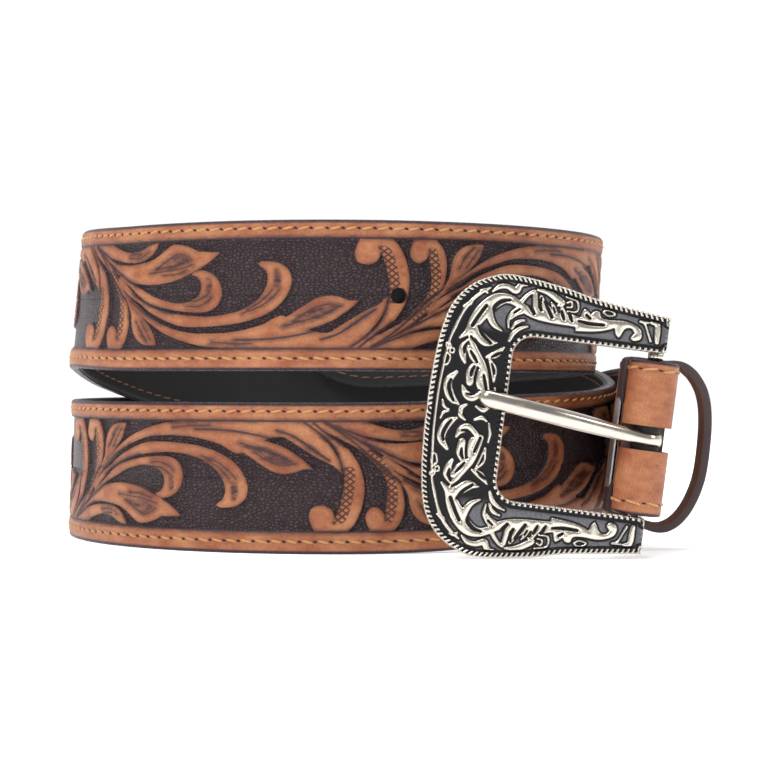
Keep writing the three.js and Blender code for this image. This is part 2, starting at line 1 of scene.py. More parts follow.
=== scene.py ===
# %% [markdown]
# # A tooled western belt, rolled up
#
# The belt stands on its lower edge, rolled round a little more than twice, with its cast buckle in
# front.
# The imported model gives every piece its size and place. This script dresses it: carved leather,
# painted edges, thread, lining, silver and nickel. Lengths are typed in millimetres and turned to
# metres where a mesh is made.

# %% Load the frame
import math

import bpy
import numpy as np
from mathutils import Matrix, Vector


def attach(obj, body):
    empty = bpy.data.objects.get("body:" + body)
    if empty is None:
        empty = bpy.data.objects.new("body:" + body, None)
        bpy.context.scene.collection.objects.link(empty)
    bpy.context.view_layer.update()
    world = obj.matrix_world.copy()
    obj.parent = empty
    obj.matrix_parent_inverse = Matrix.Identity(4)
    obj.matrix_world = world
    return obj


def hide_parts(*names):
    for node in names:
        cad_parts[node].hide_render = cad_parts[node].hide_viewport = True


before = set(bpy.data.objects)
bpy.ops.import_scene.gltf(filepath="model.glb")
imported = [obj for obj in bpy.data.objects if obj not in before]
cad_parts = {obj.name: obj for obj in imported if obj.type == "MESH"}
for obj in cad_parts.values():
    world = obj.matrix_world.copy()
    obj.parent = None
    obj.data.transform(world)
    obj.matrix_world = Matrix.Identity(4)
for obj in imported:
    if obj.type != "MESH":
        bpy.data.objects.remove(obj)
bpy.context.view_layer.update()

MM = 0.001

# %% [markdown]
# ## Camera and studio
#
# The photograph is taken level with the belt from a little more than half a metre, with a short
# telephoto lens. The belt is lit by broad soft lamps on a white table, so that the leather shows
# gentle shading and the metal reflects white panels between dark gaps.

# %% Camera
IMAGE_SIZE = 768
FOCAL_PIXELS = 2092
SENSOR_WIDTH = 36
HORIZON_ROW = 371
CAMERA_PLACE = (0.0023, -0.5934, 0.0460)

camera = bpy.data.objects.new("camera", bpy.data.cameras.new("camera"))
camera.data.sensor_width = SENSOR_WIDTH
camera.data.lens = FOCAL_PIXELS / IMAGE_SIZE * SENSOR_WIDTH
camera.data.shift_y = (HORIZON_ROW - IMAGE_SIZE / 2) / IMAGE_SIZE
camera.location = CAMERA_PLACE
camera.rotation_euler = (math.radians(90), 0, 0)
bpy.context.scene.collection.objects.link(camera)
bpy.context.scene.camera = camera
print("lens", round(camera.data.lens, 1), "mm")


# %% A helper for meshes
def new_piece(name, points, faces, body, fields=None, smooth=True):
    """A mesh from points in millimetres, riding on a body. fields are numbers kept at each point."""
    mesh = bpy.data.meshes.new(name)
    mesh.from_pydata((np.asarray(points, float) * MM).tolist(), [], faces)
    for field, values in (fields or {}).items():
        values = np.asarray(values, np.float32)
        kind, key = ("FLOAT_VECTOR", "vector") if values.ndim == 2 else ("FLOAT", "value")
        mesh.attributes.new(field, kind, "POINT").data.foreach_set(key, values.ravel())
    mesh.polygons.foreach_set("use_smooth", [smooth] * len(mesh.polygons))
    mesh.update()
    piece = bpy.data.objects.new(name, mesh)
    bpy.context.scene.collection.objects.link(piece)
    if body:
        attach(piece, body)
    triangles = sum(len(polygon.vertices) - 2 for polygon in mesh.polygons)
    print(f"{name}: {triangles} triangles")
    return piece


def grid_faces(rows, columns, closed=False, kept=None):
    """Quads between neighbouring points of a grid. closed joins the last column to the first."""
    i, j = np.meshgrid(np.arange(rows - 1), np.arange(columns if closed else columns - 1), indexing="ij")
    k = (j + 1) % columns
    quads = np.stack([i * columns + j, i * columns + k, (i + 1) * columns + k, (i + 1) * columns + j], -1)
    quads = quads.reshape(-1, 4)
    if kept is not None:
        quads = quads[kept[quads].all(1)]
    return quads.tolist()


# %% Helpers for materials
# Settings that many nodes share: a mix of two colours, a range with soft ends and a product
BLEND = {"data_type": "RGBA"}
SOFT_RANGE = {"interpolation_type": "SMOOTHSTEP"}
TIMES = {"operation": "MULTIPLY"}


def linear(code):
    """An sRGB hex colour as linear red, green, blue and alpha."""
    parts = [int(code[i:i + 2], 16) / 255 for i in (1, 3, 5)]
    return [p / 12.92 if p <= 0.04045 else ((p + 0.055) / 1.055) ** 2.4 for p in parts] + [1]


def add(material, kind, settings=None, **links):
    """Adds a node. A link's value is another node's output or a constant, by the socket's name or number."""
    node = material.node_tree.nodes.new("ShaderNode" + kind)
    for key, value in (settings or {}).items():
        setattr(node, key, value)
    for key, value in links.items():
        key = key.replace("_", " ")
        socket = node.inputs[int(key[1:])] if key[0] == "i" and key[1:].isdigit() else node.inputs[key]
        if isinstance(value, bpy.types.NodeSocket):
            material.node_tree.links.new(value, socket)
        else:
            socket.default_value = value
    return node


def new_material(name):
    """An empty material with its shader, which is returned beside it."""
    material = bpy.data.materials.new(name)
    material.use_nodes = True
    shader = material.node_tree.nodes["Principled BSDF"]
    return material, shader


def set_sockets(material, shader, **values):
    """Sets or links sockets of the shader by name."""
    for key, value in values.items():
        socket = shader.inputs[key.replace("_", " ")]
        if isinstance(value, bpy.types.NodeSocket):
            material.node_tree.links.new(value, socket)
        else:
            socket.default_value = value


print("a mid grey of #808080 is", round(linear("#808080")[0], 3), "in linear light")

# %% Table and room
TABLE_HALF = 4000
TABLE_GLOW = 0.42
# The room's brightness behind the belt's far side and in front of it
ROOM_DIM = 0.34
ROOM_BRIGHT = 1.02

# White paper is fully rough, so it shows no reflection. A little glow of its own stands for the
# light that a real studio's paper sweep gives back
studio_white, studio_shader = new_material("white_paper_table")
set_sockets(studio_white, studio_shader, Base_Color=linear("#f7f7f8"), Roughness=0.9,
            Emission_Color=linear("#ffffff"), Emission_Strength=TABLE_GLOW)
table_corners = [(x * TABLE_HALF, y * TABLE_HALF, 0) for x, y in [(-1, -1), (1, -1), (1, 1), (-1, 1)]]
table = new_piece("table", table_corners, [(0, 1, 2, 3)], None)
table.data.materials.append(studio_white)

world = bpy.data.worlds.new("studio")
world.use_nodes = True
room = world.node_tree.nodes["Background"]
facing = add(world, "SeparateXYZ", Vector=add(world, "TexCoord").outputs["Generated"]).outputs["Y"]
brightness = add(world, "MapRange", SOFT_RANGE, Value=facing,
                 From_Min=-0.35, From_Max=0.5, To_Min=ROOM_DIM, To_Max=ROOM_BRIGHT).outputs[0]
world.node_tree.links.new(brightness, room.inputs["Strength"])
room.inputs["Color"].default_value = linear("#ffffff")
bpy.context.scene.world = world
bpy.context.scene.view_settings.view_transform = "Standard"
print("table and room of", ROOM_DIM, "to", ROOM_BRIGHT)

# %% Lamps
AIM = Vector((0, 0, 0.04))
LAMPS = [
    # name, place in metres, size in metres, watts
    ("key_left", (-0.55, -0.7, 0.85), 0.35, 7.5),
    ("fill_right", (0.85, -0.6, 0.45), 0.4, 2.2),
    ("top", (0, -0.05, 1.1), 0.7, 8),
]
for name, place, side, watts in LAMPS:
    lamp = bpy.data.objects.new(name, bpy.data.lights.new(name, "AREA"))
    lamp.data.size = side
    lamp.data.energy = watts
    lamp.location = place
    lamp.rotation_euler = (AIM - lamp.location).to_track_quat("-Z", "Y").to_euler()
    bpy.context.scene.collection.objects.link(lamp)
print(len(LAMPS), "lamps")

# %% [markdown]
# ## The strap's run
#
# A strap is one flat ribbon, so every point on it has three numbers: how far along it is, how far
# across, and how far out from the middle of its thickness. This section finds where such a point
# lies on the rolled belt, with the same rows that the CAD solid was lofted through.

# %% Sizes of the strap
STRAP_WIDTH = 38
STRAP_THICKNESS = 3.6
COIL_RADIUS = 74.5
LAYER_PITCH = 4.3
TIP_LENGTH = 26
TIP_END_WIDTH = 7
FOOTING = (-9.4002, 6.5615, 0.0105)
# Turn round the coil in degrees, layer, the lower edge's rise as a share of the width, lean in degrees
COIL_SECTIONS = np.array([
    (-630, 1.45, 0.24, 1.5), (-616, 1.42, 0.215, 1), (-585, 1.35, 0.07, 0), (-560, 1.3, 0, 0),
    (-540, 1.25, 0, 0), (-495, 0.95, 0, 0), (-475, 0.7, 0, -0.6), (-450, 0.3, 0, -1.2),
    (-405, 0.12, 0, 0), (-360, 0, 0, 0), (-342, 0.05, 0.01, 0), (-327, 0.12, 0.042, 0),
    (-295, 0.27, 0.08, 0), (-270, 0.35, 0.145, 0), (-225, 0.3, 0.395, 0), (-180, 0, 0.645, 0),
    (-135, -0.35, 0.895, -2), (-113, -0.27, 1.06, -4.2), (-90, -0.16, 1.21, -6), (-45, -0.05, 1.21, -3),
    (0, 0, 1.21, 0), (45, -0.4, 1.2, 1.5), (90, -0.85, 1.185, 3.4), (135, -1.2, 1.12, 1.5),
    (165, -1.5, 1.08, 0), (193, -1.9, 1.05, 0),
], float)
BAR_AHEAD = 9.5
BAR_DRIFT = 4.6
BAR_RISE = 0.28
BAR_LEAN = 7.3
BAR_DIAMETER = 2.8
FOLD_SLACK = 1.1
HALF_GAP = 0.15
FOLD_RADIUS = BAR_DIAMETER / 2 + FOLD_SLACK + STRAP_THICKNESS / 2
PAIR_HALF = STRAP_THICKNESS / 2 + HALF_GAP
THROAT_LENGTH = 15
TAB_LENGTH = 43
print("fold radius", round(FOLD_RADIUS, 2), "mm and", len(COIL_SECTIONS), "rows of the coil")


# %% Points along the coil
def section_at(turn):
    """Layer, rise and lean at a turn, on smooth curves through the rows."""
    at, values = COIL_SECTIONS[:, 0], COIL_SECTIONS[:, 1:]
    slope = np.diff(values, axis=0) / np.diff(at)[:, None]
    bend = np.vstack([slope[:1], (slope[1:] + slope[:-1]) / 2, slope[-1:]])
    i = np.clip(np.searchsorted(at, turn, side="right") - 1, 0, len(at) - 2)
    span = (at[i + 1] - at[i])[:, None]
    p = (turn[:, None] - at[i][:, None]) / span
    return ((2 * p**3 - 3 * p**2 + 1) * values[i] + (p**3 - 2 * p**2 + p) * span * bend[i]
            + (3 * p**2 - 2 * p**3) * values[i + 1] + (p**3 - p**2) * span * bend[i + 1])


def coil_edge(turn):
    """The middle of the strap's lower edge at each turn."""
    layer, rise, _ = section_at(turn).T
    radius = COIL_RADIUS + layer * LAYER_PITCH
    angle = np.radians(turn)
    return np.stack([radius * np.sin(angle), -radius * np.cos(angle), np.maximum(rise, 0) * STRAP_WIDTH], 1)


def unit(vectors):
    """The same directions with length 1."""
    return vectors / np.linalg.norm(vectors, axis=-1, keepdims=True)


def coil_sections(turn):
    """The strap's middle and its upward direction at each turn."""
    first, last = COIL_SECTIONS[0, 0], COIL_SECTIONS[-1, 0]
    edge = coil_edge(turn)
    run = unit(coil_edge(np.minimum(turn + 1, last)) - coil_edge(np.maximum(turn - 1, first)))
    up = unit(np.array([0, 0, 1.0]) - run * run[:, 2:])
    out = np.cross(run, up)
    lean = np.radians(section_at(turn)[:, 2:])
    up = up * np.cos(lean) + out * np.sin(lean)
    edge[:, 2] += up[:, 2] * STRAP_WIDTH / 2
    return edge, up


print("the coil's lower edge starts at", coil_edge(COIL_SECTIONS[:1, 0])[0].round(1))

# %% The bar, and the fold round it
lean = math.radians(BAR_LEAN)
bar_up = np.array([math.sin(lean), 0, math.cos(lean)])
bar_side = np.array([math.cos(lean), 0, -math.sin(lean)])
coil_start, coil_start_up = (v[0] for v in coil_sections(COIL_SECTIONS[:1, 0]))
bar_centre = np.array([coil_start[0] - BAR_DRIFT, -(COIL_RADIUS + BAR_AHEAD),
                       (BAR_RISE + bar_up[2] / 2) * STRAP_WIDTH])


def at_bar(side, back, up=0):
    """Points given across the fold, away from the viewer and along the bar."""
    given = np.broadcast_arrays(*(np.asarray(v, float) for v in (side, back, up)))
    side, back, up = (v[..., None] for v in given)
    return bar_centre + side * bar_side + up * bar_up + back * np.array([0, 1, 0])


def smooth_share(value, low, high):
    """How far a value is from low to high, from 0 to 1 with soft ends."""
    p = np.clip((value - low) / (high - low), 0, 1)
    return p * p * (3 - 2 * p)


def layer_offset(back):
    """Half the distance between the two layers behind the bar."""
    return FOLD_RADIUS + (PAIR_HALF - FOLD_RADIUS) * smooth_share(back, 0, THROAT_LENGTH)


tab_back = np.linspace(TAB_LENGTH, 0, 87)
front_back = np.linspace(0, THROAT_LENGTH, 31)
round_angle = np.radians(np.arange(6, 180, 6))
lead_end = at_bar(layer_offset(THROAT_LENGTH), THROAT_LENGTH)
lead_y = np.arange(lead_end[1] + 0.5, coil_start[1] - 0.1, 0.5)
lead_share = smooth_share(lead_y, lead_end[1], coil_start[1])[:, None]
lead = lead_end * (1 - lead_share) + coil_start * lead_share
lead[:, 1] = lead_y
coil_turns = np.arange(COIL_SECTIONS[0, 0], COIL_SECTIONS[-1, 0] + 0.01, 0.5)
coil_mid, coil_up = coil_sections(coil_turns)

run_mid = np.vstack([
    at_bar(-layer_offset(tab_back), tab_back),
    at_bar(-FOLD_RADIUS * np.cos(round_angle), -FOLD_RADIUS * np.sin(round_angle)),
    at_bar(layer_offset(front_back), front_back), lead, coil_mid])
folded = len(tab_back) + len(round_angle) + len(front_back)
run_up = np.vstack([np.tile(bar_up, (folded, 1)),
                    unit(bar_up * (1 - lead_share) + coil_start_up * lead_share), coil_up])
run_out = unit(np.cross(unit(np.gradient(run_mid, axis=0)), run_up))
run_length = np.concatenate([[0], np.cumsum(np.linalg.norm(np.diff(run_mid, axis=0), axis=1))])
strap_length = run_length[-1]
coil_length = run_length[-len(coil_turns):]
fold_length = run_length[len(tab_back) + len(round_angle) // 2]
print("strap is", round(strap_length), "mm long from tab end to tip; the bar is at", bar_centre + FOOTING)


# %% From strap numbers to places
def along_run(table, along):
    """A table's rows at lengths along the strap."""
    return np.stack([np.interp(along, run_length, table[:, k]) for k in range(3)], -1)


def on_strap(along, across, outward):
    """Places in millimetres of points given along, across and out of the strap."""
    along, across, outward = np.broadcast_arrays(*(np.asarray(v, float) for v in (along, across, outward)))
    return (along_run(run_mid, along) + across[..., None] * along_run(run_up, along)
            + outward[..., None] * along_run(run_out, along) + FOOTING)


def length_at(turn):
    """How far along the strap a turn of the coil is."""
    return float(np.interp(turn, coil_turns, coil_length))


def half_width(along):
    """Half the strap's width, which narrows in a round point at the tip."""
    into = np.clip((along - (strap_length - TIP_LENGTH)) / TIP_LENGTH, 0, 1)
    return (TIP_END_WIDTH + (STRAP_WIDTH - TIP_END_WIDTH) * np.sqrt(1 - into**2.2)) / 2


print("the middle of the lower band's front is at", on_strap(length_at(-360), 0, 0).round(1))

# %% [markdown]
# ## The carved pattern
#
# Western carving is drawn first and then stamped down: the scrolls and leaves keep the leather's
# own height and tan colour, and the ground between them is beaten down, pebbled and dyed dark.
# One unit of the scroll repeats along the belt, and every second one is flipped across it, so only
# one unit is drawn here, in millimetres from where its stem leaves the border. For each point of a
# fine map the script finds how far it is from the nearest leaf edge and from the nearest cut. Such
# distances stay smooth between the points, so the edges come out sharp in mesh and material alike.

# %% Leaves and scrolls of one unit
UNIT_LENGTH = 89.7
FAR = 4.0
# Each outline is a list of smooth arcs that meet in corners: (along, across) in mm. FAR is the
# distance at which a drawn line no longer matters
LEAVES = {
    "stem": [
        [(0.3, -13.6), (3.5, -11.7), (8.4, -8), (12.2, -4.5), (15.9, -1.2), (19.7, 1.6), (23.4, 3.8),
         (28.4, 6.9), (33.4, 9.6), (38.4, 11.4), (43.4, 12.7), (47.2, 13.3), (56, 13.8)],
        [(56, 13.8), (60, 14.4), (90, 14.4), (89, 11), (84, 9.5), (78, 10), (72, 8.4)],
        [(72, 8.4), (67.8, 5.7), (62.8, 7.9), (58.4, 9.1), (53.4, 9.9), (47.2, 10.1), (40.9, 9.7),
         (34.7, 8.1), (28.4, 5.4), (24.7, 3.1), (19.7, 0.1), (14.7, -3.6), (9.7, -8), (3.4, -12.6)],
    ],
    "foot_leaf": [
        [(-1, -13.6), (4, -12.5), (9.7, -10.5), (15.9, -9.2), (22.2, -8.8), (26, -9.2), (28.9, -10.5),
         (30.6, -12.2), (31.4, -13.6)],
        [(31.4, -13.6), (28.4, -13.1), (25.3, -11.9), (21.5, -11.3), (17.8, -11.6), (14, -12.6),
         (10.9, -13.7)],
        [(10.9, -13.7), (6, -14.3), (-1, -14.3)],
    ],
    "pointed_leaf": [
        [(3.4, -12.6), (10.6, -8.6), (15.9, -6.1), (19.7, -4.3), (23.4, -3.3), (28.4, -2.8), (33.4, -3),
         (37.8, -3.8), (42, -5.3), (45.8, -6.9), (48.6, -8.6), (51, -10.5)],
        [(51, -10.5), (47.4, -10.7), (44.7, -10.8)],
        [(44.7, -10.8), (42.5, -11.8), (39.7, -12.6), (36.5, -12.8), (34, -11.6), (31.5, -10.1),
         (28.4, -8.9), (24.7, -8.3), (19.7, -8), (15.9, -8.3), (12.2, -9.2), (7.2, -11.4), (3.4, -12.6)],
    ],
    "low_curl": [
        [(10.6, -8.6), (15.9, -5.1), (20.9, -2.3), (24.7, 0.2), (28.4, 1.9), (33.4, 3.3), (39, 4.2),
         (44, 4.6), (47.7, 4.4), (50, 3.3), (51.4, 1.3), (51.6, -1.1), (50.5, -3.6), (48.4, -5.3),
         (45.9, -6), (43.7, -5.6), (42.7, -5)],
        [(42.7, -5), (44.6, -4.3), (45.7, -2.6), (45.6, -0.8), (44.4, 0.8), (41.8, 1.9), (38.4, 2.3),
         (34.7, 1.7), (30.9, 0.7), (27.2, -0.8), (23.4, -2.3), (19.7, -3.9), (14.7, -6.7), (10.6, -8.6)],
    ],
    "high_curl": [
        [(14.7, -4.2), (19.7, -0.5), (24.7, 1.9), (28.4, 4.1), (32.2, 5.8), (37.8, 7.7), (42.8, 8.3),
         (50.4, 8.1), (57, 7.3), (62.8, 5.6), (67, 3), (69.5, -0.3), (70.3, -3.3), (69.5, -5.8),
         (66.9, -7.6), (62.9, -8), (61.6, -7.4)],
        [(61.6, -7.4), (63.6, -5.8), (64.2, -3.6), (63.4, -0.8), (61.1, 1.9), (57.4, 4.1), (52.3, 5.4),
         (47.2, 5.8), (42.2, 5.5), (37.8, 5), (32.2, 3.8), (27.8, 2.2), (24.3, 0.7), (19.7, -2.3),
         (14.7, -5.8)],
    ],
    "bud": [
        [(18.7, 0.2), (21.2, 4.2), (21.9, 7.7), (23, 10.2), (25.3, 12.1), (28.3, 12.9), (31.3, 12.9)],
        [(31.3, 12.9), (30, 9.9), (28.2, 7.7), (25.6, 5.6), (22.4, 3.4), (18.7, 0.2)],
    ],
    "long_leaf": [
        [(58, 11.5), (66, 10.5), (73, 9.3), (79, 7.6), (83.5, 5), (87.4, 1.8)],
        [(87.4, 1.8), (85, 1.9), (82.5, 1), (79.5, 0.7), (76.5, 1.4), (73.5, 3.2), (69.5, 5.7),
         (64.5, 8.1), (58, 10)],
    ],
    "side_leaf": [
        [(84, 13.5), (88, 11), (91.5, 7.7), (93.9, 3.7), (94.6, 0.7)],
        [(94.6, 0.7), (92.5, 2.6), (90, 3.9), (87, 5.5), (83, 8), (79, 10.5)],
        [(79, 10.5), (84, 13.5)],
    ],
    "near_horn": [
        [(87.2, 13.9), (91.2, 10.4), (95.6, 7.3), (98.3, 3.8), (99.7, 0.2), (100.1, -3.6), (99.4, -7.6),
         (98.1, -10.8), (96.4, -13.1), (94.3, -14.2), (87.8, -14.2)],
        [(87.8, -14.2), (86.8, -12.2), (86.2, -10), (86.8, -8.1), (88.4, -7.4), (90.2, -7.4), (91.8, -8.3),
         (92.5, -9.9), (92.4, -11.6)],
        [(92.4, -11.6), (93.3, -9.2), (94.1, -6.7), (94.9, -3), (95.1, -0.5), (94.8, 1.7), (93.7, 5.2),
         (92.1, 8), (89.3, 10.5), (85.5, 13.4)],
    ],
    "far_horn": [
        [(90.5, 14.2), (97.3, 10), (101.2, 7.6), (104.5, 4.9), (107.5, 1.4), (109.2, -2), (110, -5.5),
         (110.1, -8), (109.4, -10.8), (107.9, -13), (106, -14.2), (101.7, -14.2)],
        [(101.7, -14.2), (100.8, -12.3), (100.3, -10.1), (101.1, -8.5), (102.6, -7.8), (104.2, -8.5),
         (105.1, -10), (105.3, -11)],
        [(105.3, -11), (105.5, -8), (106, -4.8), (106, -2.3), (104.9, 0.5), (102.1, 3.9), (99.4, 6.4),
         (97, 8), (94.5, 9.3), (90.8, 11.2), (87.5, 13.5)],
    ],
}
print(len(LEAVES), "leaves and scrolls in a unit of", UNIT_LENGTH, "mm")

# %% Panels and hollows inside the leaves
# Panels of crossed lines inside the two horns
HATCHED = [
    [[(92.4, -11.6), (93.3, -9.2), (94.1, -6.7), (94.9, -3), (95.1, -0.5), (94.8, 2)],
     [(94.8, 2), (97.1, 1.9), (97.4, -0.6), (96.9, -4.8), (95.9, -8.6), (94.6, -11.1), (92.4, -11.6)]],
    [[(105.3, -11), (105.5, -8), (106, -4.8), (106, -2.3), (104.9, 0.5), (102.1, 3.9), (99.2, 6.6)],
     [(99.2, 6.6), (102.2, 6.1), (104.6, 3.6), (106.9, 0.3), (107.8, -2.4), (108.1, -5.5), (107.4, -9.2),
      (106.5, -11.3), (105.3, -11)]],
]
# Dyed hollows inside leaves and curl ends
HOLLOWS = [
    [[(27.8, -5.9), (33, -6.1), (38, -6.6), (41.8, -7.5), (42.6, -8.7)],
     [(42.6, -8.7), (40.9, -10.1), (38.4, -10.4), (34.7, -9), (30.5, -7.2), (27.8, -5.9)]],
    [[(66.5, 9), (72, 8.4), (77, 7), (81, 5), (83, 3.2)],
     [(83, 3.2), (79.5, 2.5), (75.5, 3.7), (71, 6), (67.5, 8), (66.5, 9)]],
    [[(83.5, 9.6), (87, 8.2), (90, 5.8), (91.3, 4)], [(91.3, 4), (88, 5.2), (85, 7.4), (83.5, 9.6)]],
    [[(46.7, -0.6), (48.2, -0.4), (49.4, -2), (48.8, -4.2), (47, -4.5), (46.6, -2.6), (46.7, -0.6)]],
    [[(65.2, -1.2), (67, -1), (68.2, -3.5), (67.4, -6.4), (65.6, -6.5), (65.3, -4), (65.2, -1.2)]],
    [[(24.6, 6.4), (26.2, 8.6), (27.8, 10.8), (29, 12.2)], [(29, 12.2), (27, 12), (25, 10), (24.6, 6.4)]],
    [[(20, -10.3), (24, -9.9), (27, -10.8), (28.5, -12)],
     [(28.5, -12), (26, -11.5), (23, -10.8), (20, -10.3)]],
]
print(len(HATCHED), "panels and", len(HOLLOWS), "hollows")

# %% Knife cuts where one form passes over another, and the veins
CUTS = [
    [(19.5, 1.5), (15.9, -1.4), (12.2, -4.7), (8.4, -8.2), (4, -11.4), (0.5, -13.5)],
    [(20.5, 1), (24.7, 3.5), (28.4, 5.5), (33, 7.3)],
    [(22, -0.6), (24.3, 0.7), (28, 2.4), (32.2, 3.8), (37, 4.9)],
    [(10.6, -8.6), (14.7, -6.5), (19.7, -4.1), (23.4, -2.5)],
    [(3.4, -12.6), (7.2, -11.2), (12.2, -9.3), (16, -8.4)],
    [(55.6, 11.7), (62.8, 11.6), (69, 11), (75.3, 9.7), (81.6, 7.3), (85.5, 4.3), (87.4, 1.9)],
    [(77.8, 11.6), (81.6, 10.4), (84.5, 8.7), (88, 6.3), (91.4, 4)],
    [(85, 13.6), (89.3, 10.6), (92.1, 8), (93.7, 5.2), (94.6, 2), (94.7, 0.6)],
    [(87.2, 13.6), (91.2, 10.4), (95.6, 7.3)],
    [(90.5, 13.8), (97.3, 10), (101.2, 7.6), (104.5, 4.9)],
]
VEINS = [
    [(28.5, -5.7), (34, -6.1), (39, -6.6), (43, -7.6)],
    [(30.9, -6.9), (34.5, -8.8), (38.4, -10.4), (41, -9.9), (42.8, -8.8)],
    [(33, -5.1), (37.5, -5.2), (41.5, -6.3)],
    [(41.5, 3.1), (44.5, 3.1), (47.4, 2.2), (48.8, 0.9)],
    [(41, 1.9), (44.4, 1.7), (46.9, 0.6), (48.2, -0.5)],
    [(57.5, 5), (62, 3.4), (65.4, 1.1), (67.3, -1)],
    [(58.5, 4.2), (62.5, 2), (65.4, -0.9)],
    [(68.5, 8.3), (73, 7), (78, 5.6), (82, 3.6)],
    [(72, 6), (75.5, 4), (79.5, 2.7), (83, 3.3)],
    [(20, -10), (24.5, -9.9), (28, -11.2)],
    [(20.6, -11), (25, -10.9)],
    [(23.9, 6.7), (25.7, 9.5), (28.3, 12.1)],
    [(25.8, 6.7), (27.4, 8.8), (29.6, 11.5)],
    [(48.8, 12.2), (54, 12.6), (60, 12.7)],
]
print(len(CUTS), "cuts and", len(VEINS), "veins")


# %% Distances to drawn lines
def through(points, steps=6):
    """A smooth curve through points, as a finer row of points."""
    p = np.array(points, float)
    p = np.vstack([2 * p[0] - p[1], p, 2 * p[-1] - p[-2]])
    s = np.linspace(0, 1, steps, endpoint=False)[:, None]
    rows = [0.5 * (2 * b + (c - a) * s + (2 * a - 5 * b + 4 * c - d) * s**2 + (3 * b - a - 3 * c + d) * s**3)
            for a, b, c, d in zip(p, p[1:], p[2:], p[3:])]
    return np.vstack([*rows, p[-2:-1]])


def outline(arcs, steps=6):
    """A closed row of points round smooth arcs that meet in corners."""
    return np.vstack([through(arc, steps)[:-1] for arc in arcs])


def line_distance(at, line, closed=False):
    """How far each point is from a row of points, and whether it lies inside when the row is closed."""
    nearest = np.full(len(at), np.inf)
    inside = np.zeros(len(at), bool)
    ends = np.roll(line, -1, axis=0) if closed else line[1:]
    for a, b in zip(line, ends):
        to, run = at - a, b - a
        share = np.clip(to @ run / max(run @ run, 1e-9), 0, 1)
        gap = to - share[:, None] * run
        nearest = np.minimum(nearest, (gap * gap).sum(1))
        if closed:
            crosses = (a[1] > at[:, 1]) != (b[1] > at[:, 1])
            slope = (b[0] - a[0]) / (b[1] - a[1] if b[1] != a[1] else 1)
            inside ^= crosses & (at[:, 0] < a[0] + slope * (at[:, 1] - a[1]))
    return np.sqrt(nearest), inside


def drawn_map(at, lines, closed, reach=FAR):
    """The least distance to any of the lines, negative inside closed ones, looked up near each line only."""
    field = np.full(len(at), reach)
    for line in lines:
        low, high = line.min(0) - reach, line.max(0) + reach
        near = np.flatnonzero(((at > low) & (at < high)).all(1))
        distance, inside = line_distance(at[near], line, closed)
        field[near] = np.minimum(field[near], np.where(inside, -distance, distance))
    return field


sample_line = np.array([[0, 0], [4, 0]], float)
sample_gap, _ = line_distance(np.array([[1.0, 2.0]]), sample_line)
print("a point 2 mm above a line is found", sample_gap[0], "mm off")

# %% The unit's maps
MAP_STEP = 0.15
map_x = np.arange(-6, 116, MAP_STEP)
map_t = np.arange(-15, 15.01, MAP_STEP)
map_points = np.stack(np.meshgrid(map_x, map_t, indexing="ij"), -1).reshape(-1, 2)
leaf_lines = [outline(arcs) for arcs in LEAVES.values()]
unit_maps = {
    "leaf": drawn_map(map_points, leaf_lines, True),
    "hatch": drawn_map(map_points, [outline(arcs) for arcs in HATCHED], True),
    "hollow": drawn_map(map_points, [outline(arcs) for arcs in HOLLOWS], True),
    "cut": drawn_map(map_points, [through(line) for line in CUTS], False),
    "vein": drawn_map(map_points, [through(line) for line in VEINS], False),
}
unit_maps = {name: field.reshape(len(map_x), len(map_t)) for name, field in unit_maps.items()}
print("pattern maps of", len(map_points), "points")


def look_up(field, x, t):
    """A map's value at each point, blended between its four neighbours."""
    i = np.clip((x - map_x[0]) / MAP_STEP, 0, len(map_x) - 1.001)
    j = np.clip((t - map_t[0]) / MAP_STEP, 0, len(map_t) - 1.001)
    i0, j0 = i.astype(int), j.astype(int)
    u, v = i - i0, j - j0
    return (field[i0, j0] * (1 - u) * (1 - v) + field[i0 + 1, j0] * u * (1 - v)
            + field[i0, j0 + 1] * (1 - u) * v + field[i0 + 1, j0 + 1] * u * v)


# %% The unit repeated along the belt
# Turns at which a stem leaves the border, as the photograph shows them on both bands in front. The
# even ones leave the lower border. Behind, the units are a little longer to join the two.
STEM_TURNS = [(-633, -3), (-430.3, 0), (-362.7, 1), (-295.1, 2), (-129.3, 4), (-61.7, 5), (208.9, 9)]
DEGREES_PER_UNIT = 67.6
MM_PER_DEGREE = 1.3
PANEL_SHIFT = 0.5
PANEL_EDGE = 5.1
STITCH_EDGE = 2.65


def pattern_at(along, across):
    """The pattern's distances at points of the strap, and how far each is from the strap's edge."""
    turn = np.interp(along, coil_length, coil_turns)
    before = along - coil_length[0]
    turn = np.where(before < 0, coil_turns[0] + before / MM_PER_DEGREE, turn)
    at, index = np.array(STEM_TURNS).T
    count = np.interp(turn, at, index)
    count = np.where(turn < at[0], index[0] + (turn - at[0]) / DEGREES_PER_UNIT, count)
    t = across - PANEL_SHIFT
    half = half_width(along)
    slope = np.gradient(half_width(run_length), run_length)
    edge = (half - np.abs(t)) / np.sqrt(1 + np.interp(along, run_length, slope) ** 2)
    fields = {name: np.full(along.shape, FAR) for name in unit_maps}
    for back in (0, 1):
        k = np.floor(count) - back
        x = (count - k) * UNIT_LENGTH
        side = np.where(k % 2 == 0, 1, -1)
        shown = x < map_x[-1] - 1
        for name, field in unit_maps.items():
            found = look_up(field, x, t * side)
            fields[name] = np.where(shown, np.minimum(fields[name], found), fields[name])
    fields["edge"] = edge
    return fields


print(len(STEM_TURNS), "stems are set; the last unit is number", STEM_TURNS[-1][1])

